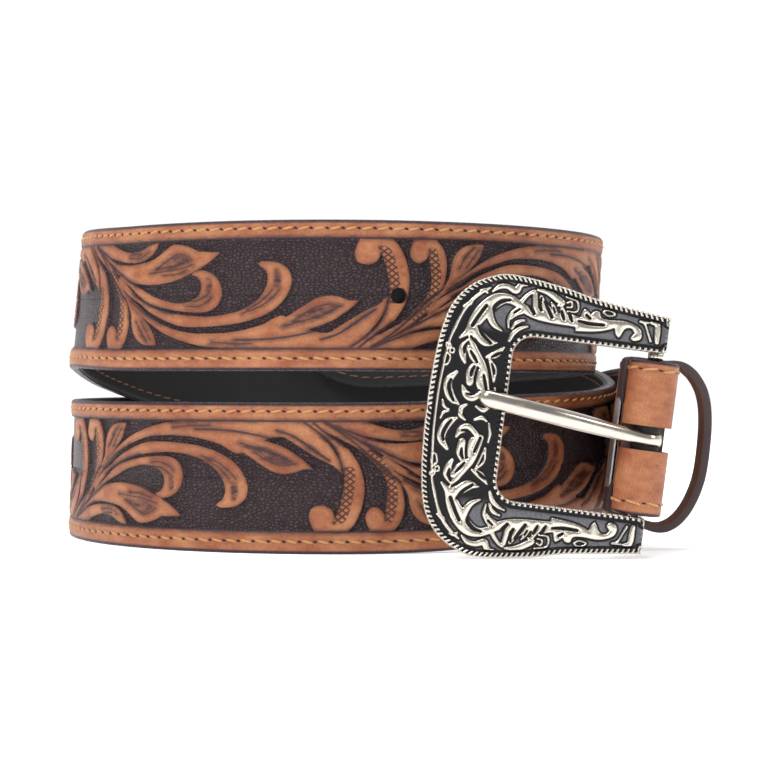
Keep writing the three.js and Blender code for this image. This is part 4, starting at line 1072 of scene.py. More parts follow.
# %% The engraver's strokes
# Raised strokes of the upper half: (x, y, half width) in mm along each. The lower half mirrors them
SCROLLS = [
    [(-48.6, 17.9, 0.25), (-46.8, 19.7, 0.8), (-45.3, 22.6, 1.5), (-43.4, 25.6, 1.8), (-41, 28, 1.6),
     (-38.4, 28.8, 1.1), (-35.8, 28, 0.9), (-33.5, 26.6, 1.0), (-30.5, 26, 1.4), (-27, 25.6, 1.4),
     (-24, 25.3, 1.2), (-21, 25, 1.0)],
    [(-42.6, 26, 0.9), (-42, 23.9, 0.8), (-40.8, 22, 0.6), (-38.8, 20.8, 0.2)],
    [(-35, 27.2, 0.5), (-36.7, 25.4, 0.4), (-37.4, 23.8, 0.35), (-37.2, 21.8, 0.2)],
    [(-34.2, 26.4, 0.8), (-35.8, 25.3, 0.5), (-36.9, 24, 0.2)],
    [(-32.6, 22.6, 0.2), (-34.3, 21.9, 0.4), (-35.8, 20.6, 0.5), (-36.6, 18.6, 0.35)],
    [(-33.6, 24, 0.25), (-35.3, 23.2, 0.5), (-36.4, 21.6, 0.2)],
    [(-45.9, 20.8, 0.9), (-44.2, 19.2, 1.15), (-42.2, 17.7, 1.15), (-39.6, 17.7, 0.2)],
    [(-46.2, 19.4, 0.7), (-45.2, 16.6, 0.6), (-43.6, 14, 0.65), (-42.3, 11.8, 0.8), (-41.5, 9.2, 0.9),
     (-40.6, 5.8, 0.7)],
    [(-46.2, 15.8, 0.5), (-44.7, 13.7, 0.95), (-43, 11.7, 0.4)],
    [(-46.4, 17.6, 0.3), (-47.6, 15.6, 0.85), (-47.4, 13.6, 0.7), (-46.7, 12, 0.3)],
    [(-44.1, 11.9, 0.5), (-45, 9.9, 0.95), (-44.9, 7.3, 0.8)],
    [(-46.5, 6.2, 0.25), (-45.5, 4.4, 0.8), (-43.8, 3.8, 0.95), (-41.6, 5.1, 0.5)],
    [(-42.8, 10.4, 0.35), (-42.7, 7.4, 0.6), (-41.7, 5.2, 0.4)],
    [(-41.6, 13.9, 0.25), (-39.5, 14.9, 0.8), (-37.6, 16.8, 0.2)],
    [(-40.7, 13.3, 0.3), (-39.5, 11.2, 0.7), (-39.1, 8.3, 0.25)],
    [(-48.4, 9.4, 0.4), (-50, 7.4, 0.85), (-50, 5.2, 1.0), (-48.8, 3, 0.95), (-46.9, 1.7, 0.2)],
    [(-42.1, 30.1, 0.2), (-40.6, 31.4, 0.55), (-38.6, 31.7, 0.6), (-36.5, 31, 0.8), (-35.5, 32.5, 0.6),
     (-33.2, 33, 0.25)],
    [(-34.9, 28.4, 0.5), (-33.6, 30.2, 0.4), (-32, 31.3, 0.4), (-31.6, 29.8, 0.55), (-31.2, 27, 0.6)],
    [(-31.2, 31.8, 0.25), (-28.6, 31.5, 0.65), (-26.2, 30.2, 0.8), (-24.9, 29.3, 0.6), (-25.9, 28.6, 0.2)],
    [(-30.2, 30.3, 0.3), (-29.4, 28.4, 0.8), (-27.6, 26.6, 1.0)],
    [(-27.4, 29.2, 0.25), (-26.6, 27.4, 0.45), (-26, 25.8, 0.6)],
    [(-24.9, 28.5, 0.25), (-24.4, 27, 0.65), (-23.4, 25.6, 0.8)],
    [(-24.1, 31, 0.2), (-21.3, 30.2, 0.2), (-21.1, 27.8, 0.18), (-23.4, 27.5, 0.16)],
    [(-23.7, 29.6, 0.16), (-22.7, 30, 0.16), (-22.5, 28.7, 0.16), (-23.6, 28.5, 0.14)],
    [(-14.7, 28.4, 0.16), (-14, 29, 0.16), (-12.6, 28.9, 0.16), (-11.8, 28.1, 0.16), (-13.4, 27.7, 0.16),
     (-14.7, 28.4, 0.16)],
    [(-5.4, 27.3, 0.25), (-4.3, 27.2, 0.32), (-3.3, 27.3, 0.2)],
    [(-4.4, 27, 0.3), (-3.9, 26.3, 0.18), (-3.2, 24.7, 0.16), (-2.3, 22.8, 0.22)],
    [(-2.5, 27.3, 0.35), (-1.2, 27, 0.6), (-0.95, 25.6, 0.65), (-0.9, 24.2, 0.6), (-0.75, 22.7, 0.45)],
    [(-52.3, 0, 0.24), (-52.2, 5, 0.26), (-51.9, 9.5, 0.26), (-51.5, 14, 0.24), (-51, 17.4, 0.26),
     (-50, 20.6, 0.34), (-48.9, 23.6, 0.26), (-47.9, 25.8, 0.4), (-46.4, 27.9, 0.36), (-44.6, 29.6, 0.34),
     (-42.8, 30.9, 0.2)],
    [(-48.8, 25.6, 0.15), (-47.4, 26.4, 0.5), (-46.6, 27.4, 0.15)],
    [(-45.2, 29.9, 0.15), (-44, 30.1, 0.45), (-43.3, 29.5, 0.15)],
    [(-44.9, 1.9, 0.2), (-46.2, 0.8, 0.5), (-46, -0.6, 0.4)],
    [(-50.9, 2.2, 0.15), (-50.4, 0.8, 0.3), (-49.2, 0.2, 0.2)],
    [(-38.6, 6.6, 0.18), (-38.4, 4.4, 0.3), (-38.9, 2.2, 0.2)],
    [(-42.6, 1.6, 0.2), (-40.8, 0.9, 0.45), (-39.6, 1.6, 0.2)],
    [(-51.9, 16, 0.14), (-51.1, 16.4, 0.14), (-50.6, 15.6, 0.14), (-51.3, 15, 0.14), (-51.9, 16, 0.14)],
    [(-50.6, 15.2, 0.14), (-49.7, 15, 0.14), (-49.8, 14, 0.14), (-50.6, 14.2, 0.14), (-50.6, 15.2, 0.14)],
    [(-51.3, 14, 0.14), (-50.4, 13, 0.16), (-50.8, 11.2, 0.16), (-51.6, 11, 0.14), (-51.9, 12.6, 0.14),
     (-51.3, 14, 0.14)],
]
print(len(SCROLLS), "raised strokes in each half")

# %% The long form and the grooves
# The long form on each arm, as a closed outline
ARM_FORM = [
    [(-22.2, 26.9), (-20, 26.4)],
    [(-20, 26.4), (-19.4, 28.5), (-18.7, 28.4), (-17.6, 27.4)],
    [(-17.6, 27.4), (-16.8, 28.4), (-15.7, 28.4), (-15, 27), (-12.8, 26.7), (-9.6, 26.9), (-7.3, 26.5),
     (-5.3, 25.5), (-4.7, 24), (-5.1, 22.8), (-6.6, 22.4), (-7.2, 23.2), (-6.4, 24.3)],
    [(-6.4, 24.3), (-7.1, 25.2), (-8.2, 25.4), (-9.1, 24.8), (-9.7, 23.6), (-10.2, 22.7)],
    [(-10.2, 22.7), (-10.9, 23.4), (-11.4, 25)],
    [(-11.4, 25), (-13, 24.3), (-15, 23.7), (-17.4, 23.3), (-20.8, 23)],
    [(-20.8, 23), (-21, 24.2)],
    [(-21, 24.2), (-22.2, 26.9)],
]
# Grooves cut into the raised forms
GROOVES = [
    [(-43.2, 26.4, 0.4), (-44.6, 24, 0.42), (-46, 21.2, 0.42)],
    [(-37.6, 28.5, 0.3), (-39.6, 27.9, 0.5), (-41.1, 26.4, 0.5), (-41.1, 24.8, 0.25)],
    [(-44.5, 21.2, 0.3), (-43.2, 19.3, 0.42), (-41, 17.4, 0.3)],
    [(-46, 18.4, 0.3), (-44.8, 17.4, 0.3), (-43.4, 15.9, 0.3)],
    [(-45.6, 14.9, 0.25), (-44.6, 13.6, 0.38), (-43.7, 12.3, 0.25)],
    [(-46.5, 17.1, 0.25), (-47.2, 15.6, 0.4), (-47.1, 14.3, 0.25)],
    [(-44.2, 11.3, 0.3), (-44.7, 10.2, 0.42), (-44.8, 8.9, 0.25)],
    [(-45.4, 4.5, 0.2), (-44, 4.5, 0.35), (-42.4, 5.7, 0.25)],
    [(-41.7, 9.4, 0.3), (-41.2, 7.8, 0.38), (-40.6, 5.8, 0.35)],
    [(-40.4, 14, 0.2), (-39.3, 14.8, 0.38), (-38.1, 15.5, 0.2)],
    [(-40.2, 12.6, 0.15), (-39.5, 11.2, 0.35), (-39.3, 9.8, 0.15)],
    [(-49.5, 7.5, 0.3), (-49.8, 5.8, 0.45), (-49.1, 3.8, 0.42), (-48.2, 2.3, 0.25)],
    [(-32.7, 30, 0.35), (-32.9, 28.2, 0.5), (-31.4, 25.9, 0.35)],
    [(-30.1, 30, 0.3), (-30.3, 28.4, 0.42), (-29.8, 27, 0.35)],
    [(-29.2, 29.2, 0.3), (-28.2, 27.6, 0.42), (-27, 25.6, 0.4)],
    [(-26.9, 28, 0.25), (-26.4, 26.9, 0.25)],
    [(-24.8, 27.4, 0.3), (-24.4, 26.4, 0.38), (-24, 25.4, 0.25)],
    [(-22.9, 27.2, 0.3), (-22.5, 26.2, 0.38), (-22, 25.2, 0.25)],
    [(-20.4, 25.5, 0.25), (-17.6, 25.2, 0.38), (-14.2, 25.3, 0.3)],
    [(-18.7, 27.2, 0.3), (-17.7, 26.5, 0.3)],
    [(-35, 26.6, 0.2), (-36.2, 25.6, 0.25)],
    [(-34, 23.4, 0.2), (-35.4, 22.2, 0.3)],
    [(-3.1, 26.8, 0.2), (-2.3, 25.1, 0.32), (-1.6, 22.9, 0.25)],
    [(-31.6, 31.4, 0.1), (-28.6, 30.4, 0.25), (-26.4, 28.9, 0.3)],
]
print(len(GROOVES), "grooves in each half")


# %% Depths inside strokes
def stroke_depth(at, strokes, reach=2.5):
    """How deep each point is inside the nearest stroke, in mm; negative outside."""
    field = np.full(len(at), -reach)
    for stroke in strokes:
        row = through(stroke, 5)
        for a, b in zip(row, row[1:]):
            low, high = np.minimum(a, b)[:2] - reach, np.maximum(a, b)[:2] + reach
            near = np.flatnonzero(((at > low) & (at < high)).all(1))
            run, to = b[:2] - a[:2], at[near] - a[:2]
            share = np.clip(to @ run / max(run @ run, 1e-9), 0, 1)
            gap = np.hypot(*(to - share[:, None] * run).T)
            field[near] = np.maximum(field[near], a[2] + (b[2] - a[2]) * share - gap)
    return field


def run_of(line):
    """How far along a row of points each one is."""
    return np.concatenate([[0], np.cumsum(np.hypot(*np.diff(line, axis=0).T))])


print("a short test line is", run_of(sample_line)[-1], "mm long")

# %% The band's rows and columns
FINE = 1
HALF_ROWS = 420 // FINE
COLUMNS = 92 // FINE
CAST_ROUND = 0.45
outer_line = through(OUTER_POINTS, 20)
outer_run = run_of(outer_line)
corner_angle = np.radians(np.linspace(90, 180, 20))
corner_x = OPENING_END + OPENING_CORNER
corner_y = OPENING_HALF - OPENING_CORNER
corner_arc = (corner_x, corner_y) + OPENING_CORNER * np.stack([np.cos(corner_angle), np.sin(corner_angle)], 1)
inner_line = np.vstack([
    [(ARM_END, 21.2), (1.35, 20.5), (0.4, OPENING_HALF), (corner_x, OPENING_HALF)],
    corner_arc[1:], [(OPENING_END, 0)]])
inner_run = run_of(inner_line)
outer_at_corner = np.interp(-corner_x, -outer_line[:, 0], outer_run)
outer_at_end = outer_run[-1] - corner_y
knots_outer = [0, outer_at_corner, outer_at_end, outer_run[-1]]
knots_inner = [0, inner_run[3], inner_run[-1] - corner_y, inner_run[-1]]
row_outer = np.linspace(0, outer_run[-1], HALF_ROWS)
row_inner = np.interp(row_outer, knots_outer, knots_inner)
outer_xy = np.stack([np.interp(row_outer, outer_run, outer_line[:, k]) for k in (0, 1)], 1)
inner_xy = np.stack([np.interp(row_inner, inner_run, inner_line[:, k]) for k in (0, 1)], 1)
outer_xy = np.vstack([outer_xy, outer_xy[-2::-1] * (1, -1)])
inner_xy = np.vstack([inner_xy, inner_xy[-2::-1] * (1, -1)])

across_frame = np.linspace(0, 1, COLUMNS)
width = np.hypot(*(outer_xy - inner_xy).T)[:, None]
drawn_in = CAST_ROUND / width
share = drawn_in + across_frame * (1 - 2 * drawn_in)
face_xy = inner_xy[:, None] * (1 - share[..., None]) + outer_xy[:, None] * share[..., None]
flat_xy = face_xy.reshape(-1, 2)
print("frame face grid", face_xy.shape[:2])

# %% Distances on the frame's face
half_xy = np.stack([flat_xy[:, 0], np.abs(flat_xy[:, 1])], 1)
to_outer, _ = line_distance(half_xy, outer_line[::6])
to_inner, _ = line_distance(half_xy, inner_line)
arm_end_gap = ARM_END - flat_xy[:, 0]
scroll = stroke_depth(half_xy, SCROLLS)
form = outline(ARM_FORM, 4)
form_gap, in_form = line_distance(half_xy, form, True)
scroll = np.maximum(scroll, np.where(in_form, form_gap, -form_gap))
groove = stroke_depth(half_xy, GROOVES)
print(round(float((scroll > 0).mean()), 2), "of the face is raised scrolls")

# %% Borders, ground and relief of the frame
# Slanted teeth run round the outer edge, beads round the opening, and a row of dark beads lies
# inside the teeth
TOOTH_PITCH = 1.3
TOOTH_SLANT = 0.55
BEAD_PITCH = 1.4
DARK_BEAD_PITCH = 0.95
tooth_run, bead_run = (np.repeat(np.concatenate([run, 2 * run[-1] - run[-2::-1]]), COLUMNS)
                       for run in (row_outer, row_inner))
mirror = np.sign(flat_xy[:, 1] + 1e-9)


def round_wave(run, pitch):
    """A round wave from 0 to 1 that repeats at a pitch."""
    return 0.5 + 0.5 * np.cos(2 * np.pi * run / pitch)


tooth = round_wave(tooth_run + TOOTH_SLANT * to_outer * mirror, TOOTH_PITCH)
bead = round_wave(bead_run, BEAD_PITCH)
dark_bead = round_wave(tooth_run, DARK_BEAD_PITCH)
in_teeth = smooth_share(-to_outer, -1.65, -1.35)
in_beads = smooth_share(-to_inner, -1.2, -0.95)
channel = smooth_share(to_outer, 1.4, 1.6) * smooth_share(-to_outer, -2.0, -1.85)
inner_channel = smooth_share(to_inner, 1.0, 1.2) * smooth_share(-to_inner, -1.9, -1.7)
end_rim = smooth_share(-arm_end_gap, -1.1, -0.8)
on_field = (1 - in_teeth) * (1 - in_beads) * (1 - channel) * (1 - inner_channel)
silver = np.minimum(scroll + 0.14, 0.06 - groove)
raised = smooth_share(silver, -0.12, 0.3)
crown = np.sqrt(np.clip(silver, 0, 1.2) / 1.2)
on_arm = smooth_share(flat_xy[:, 0], -47, -42) * smooth_share(half_xy[:, 1], 20, 23)
grey = on_arm * smooth_share(-scroll, 0.35, 0.7)
height = FRAME_FACE - 0.1 + on_field * (0.5 * raised + 0.18 * crown + 0.1 * grey * (1 - raised))
height += in_teeth * (0.25 + 0.5 * tooth) + in_beads * (0.15 + 0.5 * bead)
height += 0.16 * dark_bead * channel + 0.12 * bead * inner_channel - 0.1 * (channel + inner_channel)
height += end_rim * (0.45 - 0.4 * on_field * raised)

# Rubbing back brightens what stands up: scrolls, teeth, beads and, dimly, the arms' end faces
tooth_top = smooth_share(tooth + 0.9 * smooth_share(-to_outer, -0.4, -0.1), 0.4, 0.7)
bright_teeth = in_teeth * tooth_top * smooth_share(-to_outer, -1.4, -1.1)
bright_beads = in_beads * smooth_share(bead, 0.35, 0.65) * smooth_share(-to_inner, -1.05, -0.75)
end_tooth = round_wave(flat_xy[:, 1], TOOTH_PITCH)
bright_end = 0.4 * end_rim * smooth_share(-arm_end_gap, -0.7, -0.4) * smooth_share(end_tooth, 0.3, 0.6)
bright = np.max([on_field * raised, bright_teeth, bright_beads, bright_end], axis=0)
print("relief from", round(height.min(), 2), "to", round(height.max(), 2), "mm in front of the frame's plane")

# %% The frame's mesh
rows, columns = face_xy.shape[:2]
arc = np.radians([72, 54, 36, 18, 0])
edge_share = 1 - drawn_in + drawn_in * np.cos(arc)


def edge_ring(shares, z):
    """Columns at shares of the way from the opening to the outer edge, at heights z."""
    xy = inner_xy[:, None] * (1 - shares[..., None]) + outer_xy[:, None] * shares[..., None]
    return on_frame(xy[..., 0], xy[..., 1], np.broadcast_to(z, shares.shape))


face_z = height.reshape(rows, columns)
outer_top = face_z[:, -1:] - CAST_ROUND + CAST_ROUND * np.sin(arc)
inner_top = face_z[:, :1] - CAST_ROUND + CAST_ROUND * np.sin(arc[::-1])
back_share = np.hstack([np.ones((rows, 1)), 1 - drawn_in, drawn_in, np.zeros((rows, 1))])
back_z = FRAME_BACK + np.array([0.4, 0, 0, 0.4])
ring = np.concatenate([
    on_frame(face_xy[..., 0], face_xy[..., 1], face_z),
    edge_ring(edge_share, outer_top), edge_ring(back_share, back_z),
    edge_ring(drawn_in * (1 - np.cos(arc[::-1])), inner_top)], 1)
around = ring.shape[1]
extra = around - columns
fields = {}
for field, values, beyond in [("bright", bright, 0.55), ("grey", grey * on_field, 0.3)]:
    fields[field] = np.hstack([values.reshape(rows, columns), np.full((rows, extra), beyond)]).ravel()
face_place = np.dstack([face_xy, face_z[..., None]])
fields["place"] = np.concatenate([face_place, np.zeros((rows, extra, 3))], 1).reshape(-1, 3)
faces = grid_faces(rows, around, True)
faces += [list(range(around))[::-1], [(rows - 1) * around + j for j in range(around)]]
frame_piece = new_piece("cast_frame", ring.reshape(-1, 3), [face[::-1] for face in faces], "buckle",
                        fields)
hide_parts("buckle_frame")

# %% [markdown]
# Antiqued plate is silver that was blackened and then rubbed back. The eye sees two finishes at
# once: bright warm metal on all that stands up, and a nearly black skin with little shine in the
# hollows. On the arms the ground was left a satin grey. The mesh's fields tell them apart.

# %% Antique silver plate
BLACKENED = linear("#141417")
SATIN_GREY = linear("#8a8a90")
BARE_SILVER = linear("#d3ccc0")
SCUFF_MM = 0.625
silver_plate, shader = new_material("antiqued_silver_plate")
place = add(silver_plate, "Attribute", {"attribute_name": "place"}).outputs["Vector"]
found = {name: add(silver_plate, "Attribute", {"attribute_name": name}).outputs["Fac"]
         for name in ("bright", "grey")}
scuff = add(silver_plate, "TexNoise", Vector=place, Scale=1 / SCUFF_MM, Detail=6.0,
            Roughness=0.7).outputs["Fac"]
rubbed = add(silver_plate, "MapRange", SOFT_RANGE, Value=found["bright"],
             From_Min=0.25, From_Max=0.7).outputs[0]
satin = add(silver_plate, "Math", TIMES, i0=found["grey"], i1=scuff).outputs[0]
ground = add(silver_plate, "Mix", BLEND, i0=satin, i6=BLACKENED, i7=SATIN_GREY).outputs[2]
colour = add(silver_plate, "Mix", BLEND, i0=rubbed, i6=ground, i7=BARE_SILVER).outputs[2]
rough_low = add(silver_plate, "MapRange", Value=scuff, To_Min=0.18, To_Max=0.34).outputs[0]
rough = add(silver_plate, "Mix", {"data_type": "FLOAT"}, i0=rubbed, i2=0.42, i3=rough_low).outputs[0]
metal = add(silver_plate, "MapRange", Value=rubbed, To_Min=0.55, To_Max=1.0).outputs[0]
bump = add(silver_plate, "Bump", Height=scuff, Strength=0.25, Distance=0.05 * MM).outputs[0]
set_sockets(silver_plate, shader, Base_Color=colour, Roughness=rough, Metallic=metal, Normal=bump)
frame_piece.data.materials.append(silver_plate)
print(silver_plate.name, "has", len(silver_plate.node_tree.nodes), "nodes")

# %% [markdown]
# ## Lugs, bar and prong
#
# The bar lies behind the frame's plane, so each arm ends in a lug that holds it. The bar is a steel
# pin with a fluted collar where it enters each arm. The prong is one bent rod: it loops round the
# bar, leaves through the slot and rests on the frame's far end. All three are stacks of outlines,
# which follow a straight line or the rod's own path, since a modifier along a curve would not
# give the rod its blunt nose and flattened loop.

# %% Lugs behind the arm ends
LUG_RADIUS = 2.5
LUG_START = 20.6
LUG_DEPTH = 5


def stacked(name, levels, body, fields=None):
    """A solid from closed outlines, one above another, all with the same number of points."""
    count = len(levels[0])
    faces = grid_faces(len(levels), count, True)
    faces += [list(range(count))[::-1], [(len(levels) - 1) * count + j for j in range(count)]]
    points = np.vstack(levels)
    corners = points[np.array(faces[0])]
    outward = corners.mean(0) - points.mean(0)
    if np.cross(corners[1] - corners[0], corners[2] - corners[0]) @ outward < 0:
        faces = [face[::-1] for face in faces]
    return new_piece(name, points, faces, body, fields)


lug_turn = np.radians(np.arange(180, 361, 10))
lug_profile = np.vstack([
    np.stack([LUG_RADIUS * np.cos(lug_turn), LUG_RADIUS * np.sin(lug_turn)], 1),
    [(LUG_RADIUS - 0.9, FRAME_BACK + 0.2), (0.4 - LUG_RADIUS, FRAME_BACK + 0.2)]])
# depth from the opening's edge in mm, and the share of the full profile there
LUG_LEVELS = [(0, 0.88), (0.15, 0.96), (0.45, 1), (LUG_DEPTH - 0.45, 1), (LUG_DEPTH - 0.15, 0.96),
              (LUG_DEPTH, 0.88)]
lug_bright = np.full(len(LUG_LEVELS) * len(lug_profile), 0.55)
for name, side in [("upper_lug", 1), ("lower_lug", -1)]:
    levels = [on_frame(lug_profile[:, 0] * wide, side * (LUG_START + deep), lug_profile[:, 1] * wide)
              for deep, wide in LUG_LEVELS]
    lug = stacked(name, levels, "buckle", {"bright": lug_bright})
    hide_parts("buckle_frame")
    lug.data.materials.append(silver_plate)

# %% Bar
PIN_RADIUS = BAR_DIAMETER / 2
COLLAR_RADIUS = 1.9
FLUTES = 12
# Place along the bar and radius in mm, to the lower collar's end. The upper half mirrors them
bar_levels = [(-24.2, 1.0), (-24.0, PIN_RADIUS), (-20.55, PIN_RADIUS), (-20.5, 1.8), (-20.4, COLLAR_RADIUS),
              (-18.5, COLLAR_RADIUS), (-18.4, 1.8), (-18.35, PIN_RADIUS)]
bar_levels += [(-along, radius) for along, radius in reversed(bar_levels)]
round_bar = np.radians(np.arange(0, 360, 5))
flute = 1 - 0.05 * (1 + np.cos(FLUTES * round_bar))
levels = []
for along, radius in bar_levels:
    radii = radius * (flute if radius > PIN_RADIUS else 1)
    levels.append(on_frame(radii * np.cos(round_bar), along, radii * np.sin(round_bar)))
bar_piece = stacked("turned_bar", levels, "buckle")
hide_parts("buckle_bar")

# %% The prong's path
LOOP_RADIUS = 3.0
LOOP_STEPS = 28
SHANK_START = -1.2
PRONG_TIP = -42.3
PRONG_FACE = 8.3
NOSE_LENGTH = 3.2
SHANK_SLANT = 0.125
loop_turn = np.radians(np.linspace(-150, 84, LOOP_STEPS))
nose_turn = np.radians([12, 25, 38, 50, 62, 73, 82, 88])
shank_x = np.concatenate([np.linspace(SHANK_START, PRONG_TIP + NOSE_LENGTH, 46),
                          PRONG_TIP + NOSE_LENGTH * (1 - np.sin(nose_turn))])
shank_share = (shank_x - SHANK_START) / (PRONG_TIP - SHANK_START)
shank_z = LOOP_RADIUS + (PRONG_FACE - LOOP_RADIUS) * smooth_share(shank_share, -0.1, 0.82)
path = np.vstack([
    np.stack([LOOP_RADIUS * np.cos(loop_turn), LOOP_RADIUS * np.sin(loop_turn)], 1),
    np.stack([shank_x, shank_z], 1)])
path_y = -1.1 - SHANK_SLANT * np.minimum(path[:, 0], 0)
print("the prong's path has", len(path), "points")

# %% Prong
# Half the rod's width and depth: flat in the loop, fuller along the shank, round at the nose
LOOP_HALF = (1.75, 1.15)
SHANK_GAIN = (0.5, 0.9)
SQUARENESS = 0.82
into_nose = (shank_x - PRONG_TIP) / NOSE_LENGTH
nose = np.sqrt(np.clip(into_nose, 0.0004, 1) * (2 - np.clip(into_nose, 0, 1)))
across_prong, deep_prong = (
    np.concatenate([np.full(LOOP_STEPS, half), (half + gain * smooth_share(shank_share, 0, full)) * nose])
    for half, gain, full in zip(LOOP_HALF, SHANK_GAIN, (0.5, 0.6)))
tangent = unit(np.gradient(path, axis=0))
round_rod = np.radians(np.arange(0, 360, 10))
cos_rod, sin_rod = (np.sign(v) * np.abs(v) ** SQUARENESS for v in (np.cos(round_rod), np.sin(round_rod)))
levels = [on_frame(x - tz * sin_rod * deep, y + cos_rod * wide, z + tx * sin_rod * deep)
          for (x, z), y, (tx, tz), wide, deep in zip(path, path_y, tangent, across_prong, deep_prong)]
prong_piece = stacked("bent_prong", levels, "prong")
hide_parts("prong")

# %% [markdown]
# Nickel plate is a warm white metal. Its polish is nearly a mirror, so it shows the lamps and the
# dark gaps between them, broken by fine lengthwise scratches and a haze of handling.

# %% Bright nickel
# Repeats in one metre: scratches 7 mm long and 0.7 mm apart, coarser than real ones so that they
# show, and patches of haze of 6 mm
SCRATCHES = (150.0, 1500.0, 1500.0)
HAZE = 160.0
nickel, shader = new_material("polished_nickel_plate")
place = add(nickel, "TexCoord").outputs["Object"]
drawn = add(nickel, "VectorMath", TIMES, i0=place, i1=SCRATCHES).outputs[0]
scratch = add(nickel, "TexNoise", Vector=drawn, Scale=1.0, Detail=4.0, Roughness=0.6).outputs["Fac"]
cloud = add(nickel, "TexNoise", Vector=place, Scale=HAZE, Detail=3.0).outputs["Fac"]
rough = add(nickel, "MapRange", Value=cloud, From_Min=0.35, From_Max=0.65, To_Min=0.1, To_Max=0.24).outputs[0]
colour = add(nickel, "Mix", BLEND, i0=scratch, i6=linear("#b5aea4"), i7=linear("#dcd5ca")).outputs[2]
bump = add(nickel, "Bump", Height=scratch, Strength=0.12, Distance=0.03 * MM).outputs[0]
set_sockets(nickel, shader, Base_Color=colour, Roughness=rough, Metallic=1.0, Normal=bump)
for piece in (bar_piece, prong_piece):
    piece.data.materials.append(nickel)
print(nickel.name, "has", len(nickel.node_tree.nodes), "nodes")

# %% [markdown]
# ## The keeper
#
# The keeper is a loop of thick dark leather behind the fold. Its free side bulges to the right,
# where it would hold the belt's end. Cut strips like this are finished on one side only: the outer
# side is matte and dark, while the inner side shows the brown fibres of the flesh. The ends meet
# under a thin plate on the tab.

# %% Keeper loop
KEEPER_BACK = 19.5
KEEPER_WIDTH = 9
KEEPER_LEFT = -5.15
CORNER_MM = 0.35
# The outer side seen from the front: across, up and the leather's thickness there
KEEPER_POINTS = [
    (KEEPER_LEFT, 0, 1.2), (KEEPER_LEFT, 9, 1.2), (KEEPER_LEFT, 17.6, 1.2), (-4.5, 19.6, 0.9),
    (-2.4, 20, 0.75), (1.5, 20, 0.75), (5.2, 20, 0.8), (7.4, 20.3, 1.4), (9.8, 20.2, 2.0),
    (12.2, 19.2, 2.3), (14.4, 17.4, 2.3), (16.7, 14.2, 2.3), (18.2, 10.2, 2.3), (19, 5.5, 2.3),
    (19.3, 1.3, 2.3), (19.4, -4.4, 2.3), (19.1, -9.2, 2.3), (18.1, -13.8, 2.3), (16.4, -18.1, 2.3),
    (14.1, -21.4, 2.3), (11.4, -23.4, 2.3), (8.7, -24, 2.2), (5.6, -23.6, 2.1), (1, -22.2, 1.8),
    (-2.6, -21.4, 1.5), (-4.6, -20.5, 1.2), (KEEPER_LEFT, -18.6, 1.2), (KEEPER_LEFT, -9, 1.2),
    (KEEPER_LEFT, 0, 1.2),
]
keeper_line = through(KEEPER_POINTS, 8)[:-1]
run = unit(np.roll(keeper_line[:, :2], -1, 0) - np.roll(keeper_line[:, :2], 1, 0))
inward = np.stack([run[:, 1], -run[:, 0]], 1)
corner_turn = np.radians([0, 30, 60, 90])


def keeper_section(thick):
    """The strip's section as in-from-outside and back, with its four corners rounded."""
    rows = []
    for into, back, first in [(0, 0, 180), (0, KEEPER_WIDTH, 90), (thick, KEEPER_WIDTH, 0), (thick, 0, -90)]:
        middle_in = into + CORNER_MM * (1 if into == 0 else -1)
        middle_back = back + CORNER_MM * (1 if back == 0 else -1)
        turns = np.radians(first + 90) - corner_turn
        rows += [(middle_in + CORNER_MM * np.cos(t), middle_back + CORNER_MM * np.sin(t)) for t in turns]
    return np.array(rows)


print(len(keeper_line), "places along the keeper")

# %% Keeper mesh
sections = np.array([keeper_section(thick) for thick in keeper_line[:, 2]])
flat = keeper_line[:, None, :2] + inward[:, None] * sections[..., :1]
points = at_bar(flat[..., 0], KEEPER_BACK + sections[..., 1], flat[..., 1]) + FOOTING
count, around = points.shape[:2]
i, j = np.meshgrid(np.arange(count), np.arange(around), indexing="ij")
quads = np.stack([i * around + j, i * around + (j + 1) % around, (i + 1) % count * around + (j + 1) % around,
                  (i + 1) % count * around + j], -1).reshape(-1, 4)
inner_side = (sections[..., 0] - CORNER_MM) / np.maximum(keeper_line[:, None, 2] - 2 * CORNER_MM, 0.01)
strip_run = run_of(keeper_line[:, :2])
strip_place = np.dstack([np.repeat(strip_run[:, None], around, 1), sections[..., 1], sections[..., 0]])
strip_fields = {"inner": np.clip(inner_side, -0.2, 1.2).ravel(), "place": strip_place.reshape(-1, 3)}
keeper_piece = new_piece("keeper_strip", points.reshape(-1, 3), quads[:, ::-1].tolist(), "strap",
                         strip_fields)
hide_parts("keeper_loop")
print("the keeper's strip is about", round(strip_run[-1]), "mm long")

# %% Dark keeper leather
# The waxed side is smooth and hardly shines. The flesh side is rough, and its long hairs are drawn
# 0.8 mm along and 0.13 mm across the strip
WAXED_DARK, WAXED_LIGHT = linear("#251b1e"), linear("#4a3a3c")
FLESH_DARK, FLESH_LIGHT = linear("#2a1a14"), linear("#6e4a38")
keeper_hide, shader = new_material("dark_waxed_strap_leather")
place = add(keeper_hide, "Attribute", {"attribute_name": "place"}).outputs["Vector"]
inner = add(keeper_hide, "Attribute", {"attribute_name": "inner"}).outputs["Fac"]
flesh = add(keeper_hide, "MapRange", Value=inner, From_Min=0.93, From_Max=1.0).outputs[0]
grain = add(keeper_hide, "TexNoise", Vector=place, Scale=2.4, Detail=7.0, Roughness=0.7).outputs["Fac"]
hairs = add(keeper_hide, "VectorMath", TIMES, i0=place, i1=(1.2, 5.0, 1.0)).outputs[0]
hairs = add(keeper_hide, "TexNoise", Vector=hairs, Scale=1.5, Detail=8.0, Roughness=0.8).outputs["Fac"]
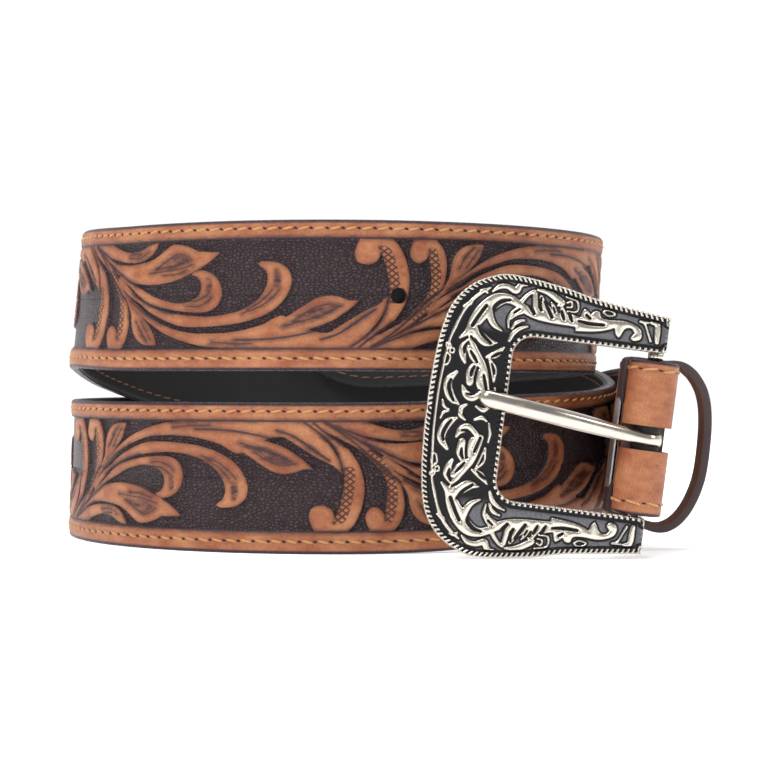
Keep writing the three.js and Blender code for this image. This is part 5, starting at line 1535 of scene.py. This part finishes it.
dark = add(keeper_hide, "Mix", BLEND, i0=grain, i6=WAXED_DARK, i7=WAXED_LIGHT).outputs[2]
brown = add(keeper_hide, "Mix", BLEND, i0=hairs, i6=FLESH_DARK, i7=FLESH_LIGHT).outputs[2]
colour = add(keeper_hide, "Mix", BLEND, i0=flesh, i6=dark, i7=brown).outputs[2]
relief_height = add(keeper_hide, "Mix", {"data_type": "FLOAT"}, i0=flesh, i2=grain, i3=hairs).outputs[0]
bump = add(keeper_hide, "Bump", Height=relief_height, Strength=0.6, Distance=0.25 * MM).outputs[0]
rough = add(keeper_hide, "MapRange", Value=flesh, To_Min=0.58, To_Max=0.9).outputs[0]
set_sockets(keeper_hide, shader, Base_Color=colour, Roughness=rough, Normal=bump, IOR=1.5)
keeper_piece.data.materials.append(keeper_hide)
print(keeper_hide.name, "has", len(keeper_hide.node_tree.nodes), "nodes")

# %% [markdown]
# ## The keeper's plate
#
# A thin pressed plate with rounded corners lies on the tab, where the keeper's ends meet. It is a
# rounded outline in four levels, so that its edge catches the light. Zinc-plated steel is a cool
# grey metal, and brushing draws its reflections out into dull upright streaks.

# %% Keeper plate
PLATE_SPAN = (-14.2, 9.2)
PLATE_CORNER = 1.4
# out from the tab in mm, and the share of the full outline there
PLATE_LEVELS = [(-0.1, 0.985), (0.05, 1), (1.0, 1), (1.12, 0.985)]
plate_outline = []
for back, up, first in [(1, 1, 0), (-1, 1, 90), (-1, -1, 180), (1, -1, 270)]:
    turns = math.radians(first) + np.radians(np.arange(0, 91, 15))
    middle = (KEEPER_BACK + KEEPER_WIDTH / 2 + back * (KEEPER_WIDTH / 2 - PLATE_CORNER),
              PLATE_SPAN[up > 0] - up * PLATE_CORNER)
    plate_outline += list(middle + PLATE_CORNER * np.stack([np.cos(turns), np.sin(turns)], 1))
plate_outline = np.array(plate_outline)
plate_middle = plate_outline.mean(0)
levels = []
for out, wide in PLATE_LEVELS:
    back, up = (plate_middle + (plate_outline - plate_middle) * wide).T
    levels.append(at_bar(KEEPER_LEFT + out, back, up) + FOOTING)
plate_piece = stacked("pressed_plate", levels, "strap")
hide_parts("keeper_plate")

# %% Brushed steel
# Brush lines in one metre: 1.1 mm apart and 8 mm long, coarser than real ones so that they show
BRUSH_LINES = (900.0, 900.0, 120.0)
steel, shader = new_material("brushed_zinc_plated_steel")
place = add(steel, "TexCoord").outputs["Object"]
brushed = add(steel, "VectorMath", TIMES, i0=place, i1=BRUSH_LINES).outputs[0]
brushed = add(steel, "TexNoise", Vector=brushed, Scale=1.0, Detail=5.0).outputs["Fac"]
colour = add(steel, "Mix", BLEND, i0=brushed, i6=linear("#a9a5a6"), i7=linear("#d8d4d3")).outputs[2]
set_sockets(steel, shader, Base_Color=colour, Roughness=0.4, Metallic=0.85,
            Normal=add(steel, "Bump", Height=brushed, Strength=0.2, Distance=0.03 * MM).outputs[0])
plate_piece.data.materials.append(steel)
print(steel.name, "has", len(steel.node_tree.nodes), "nodes")
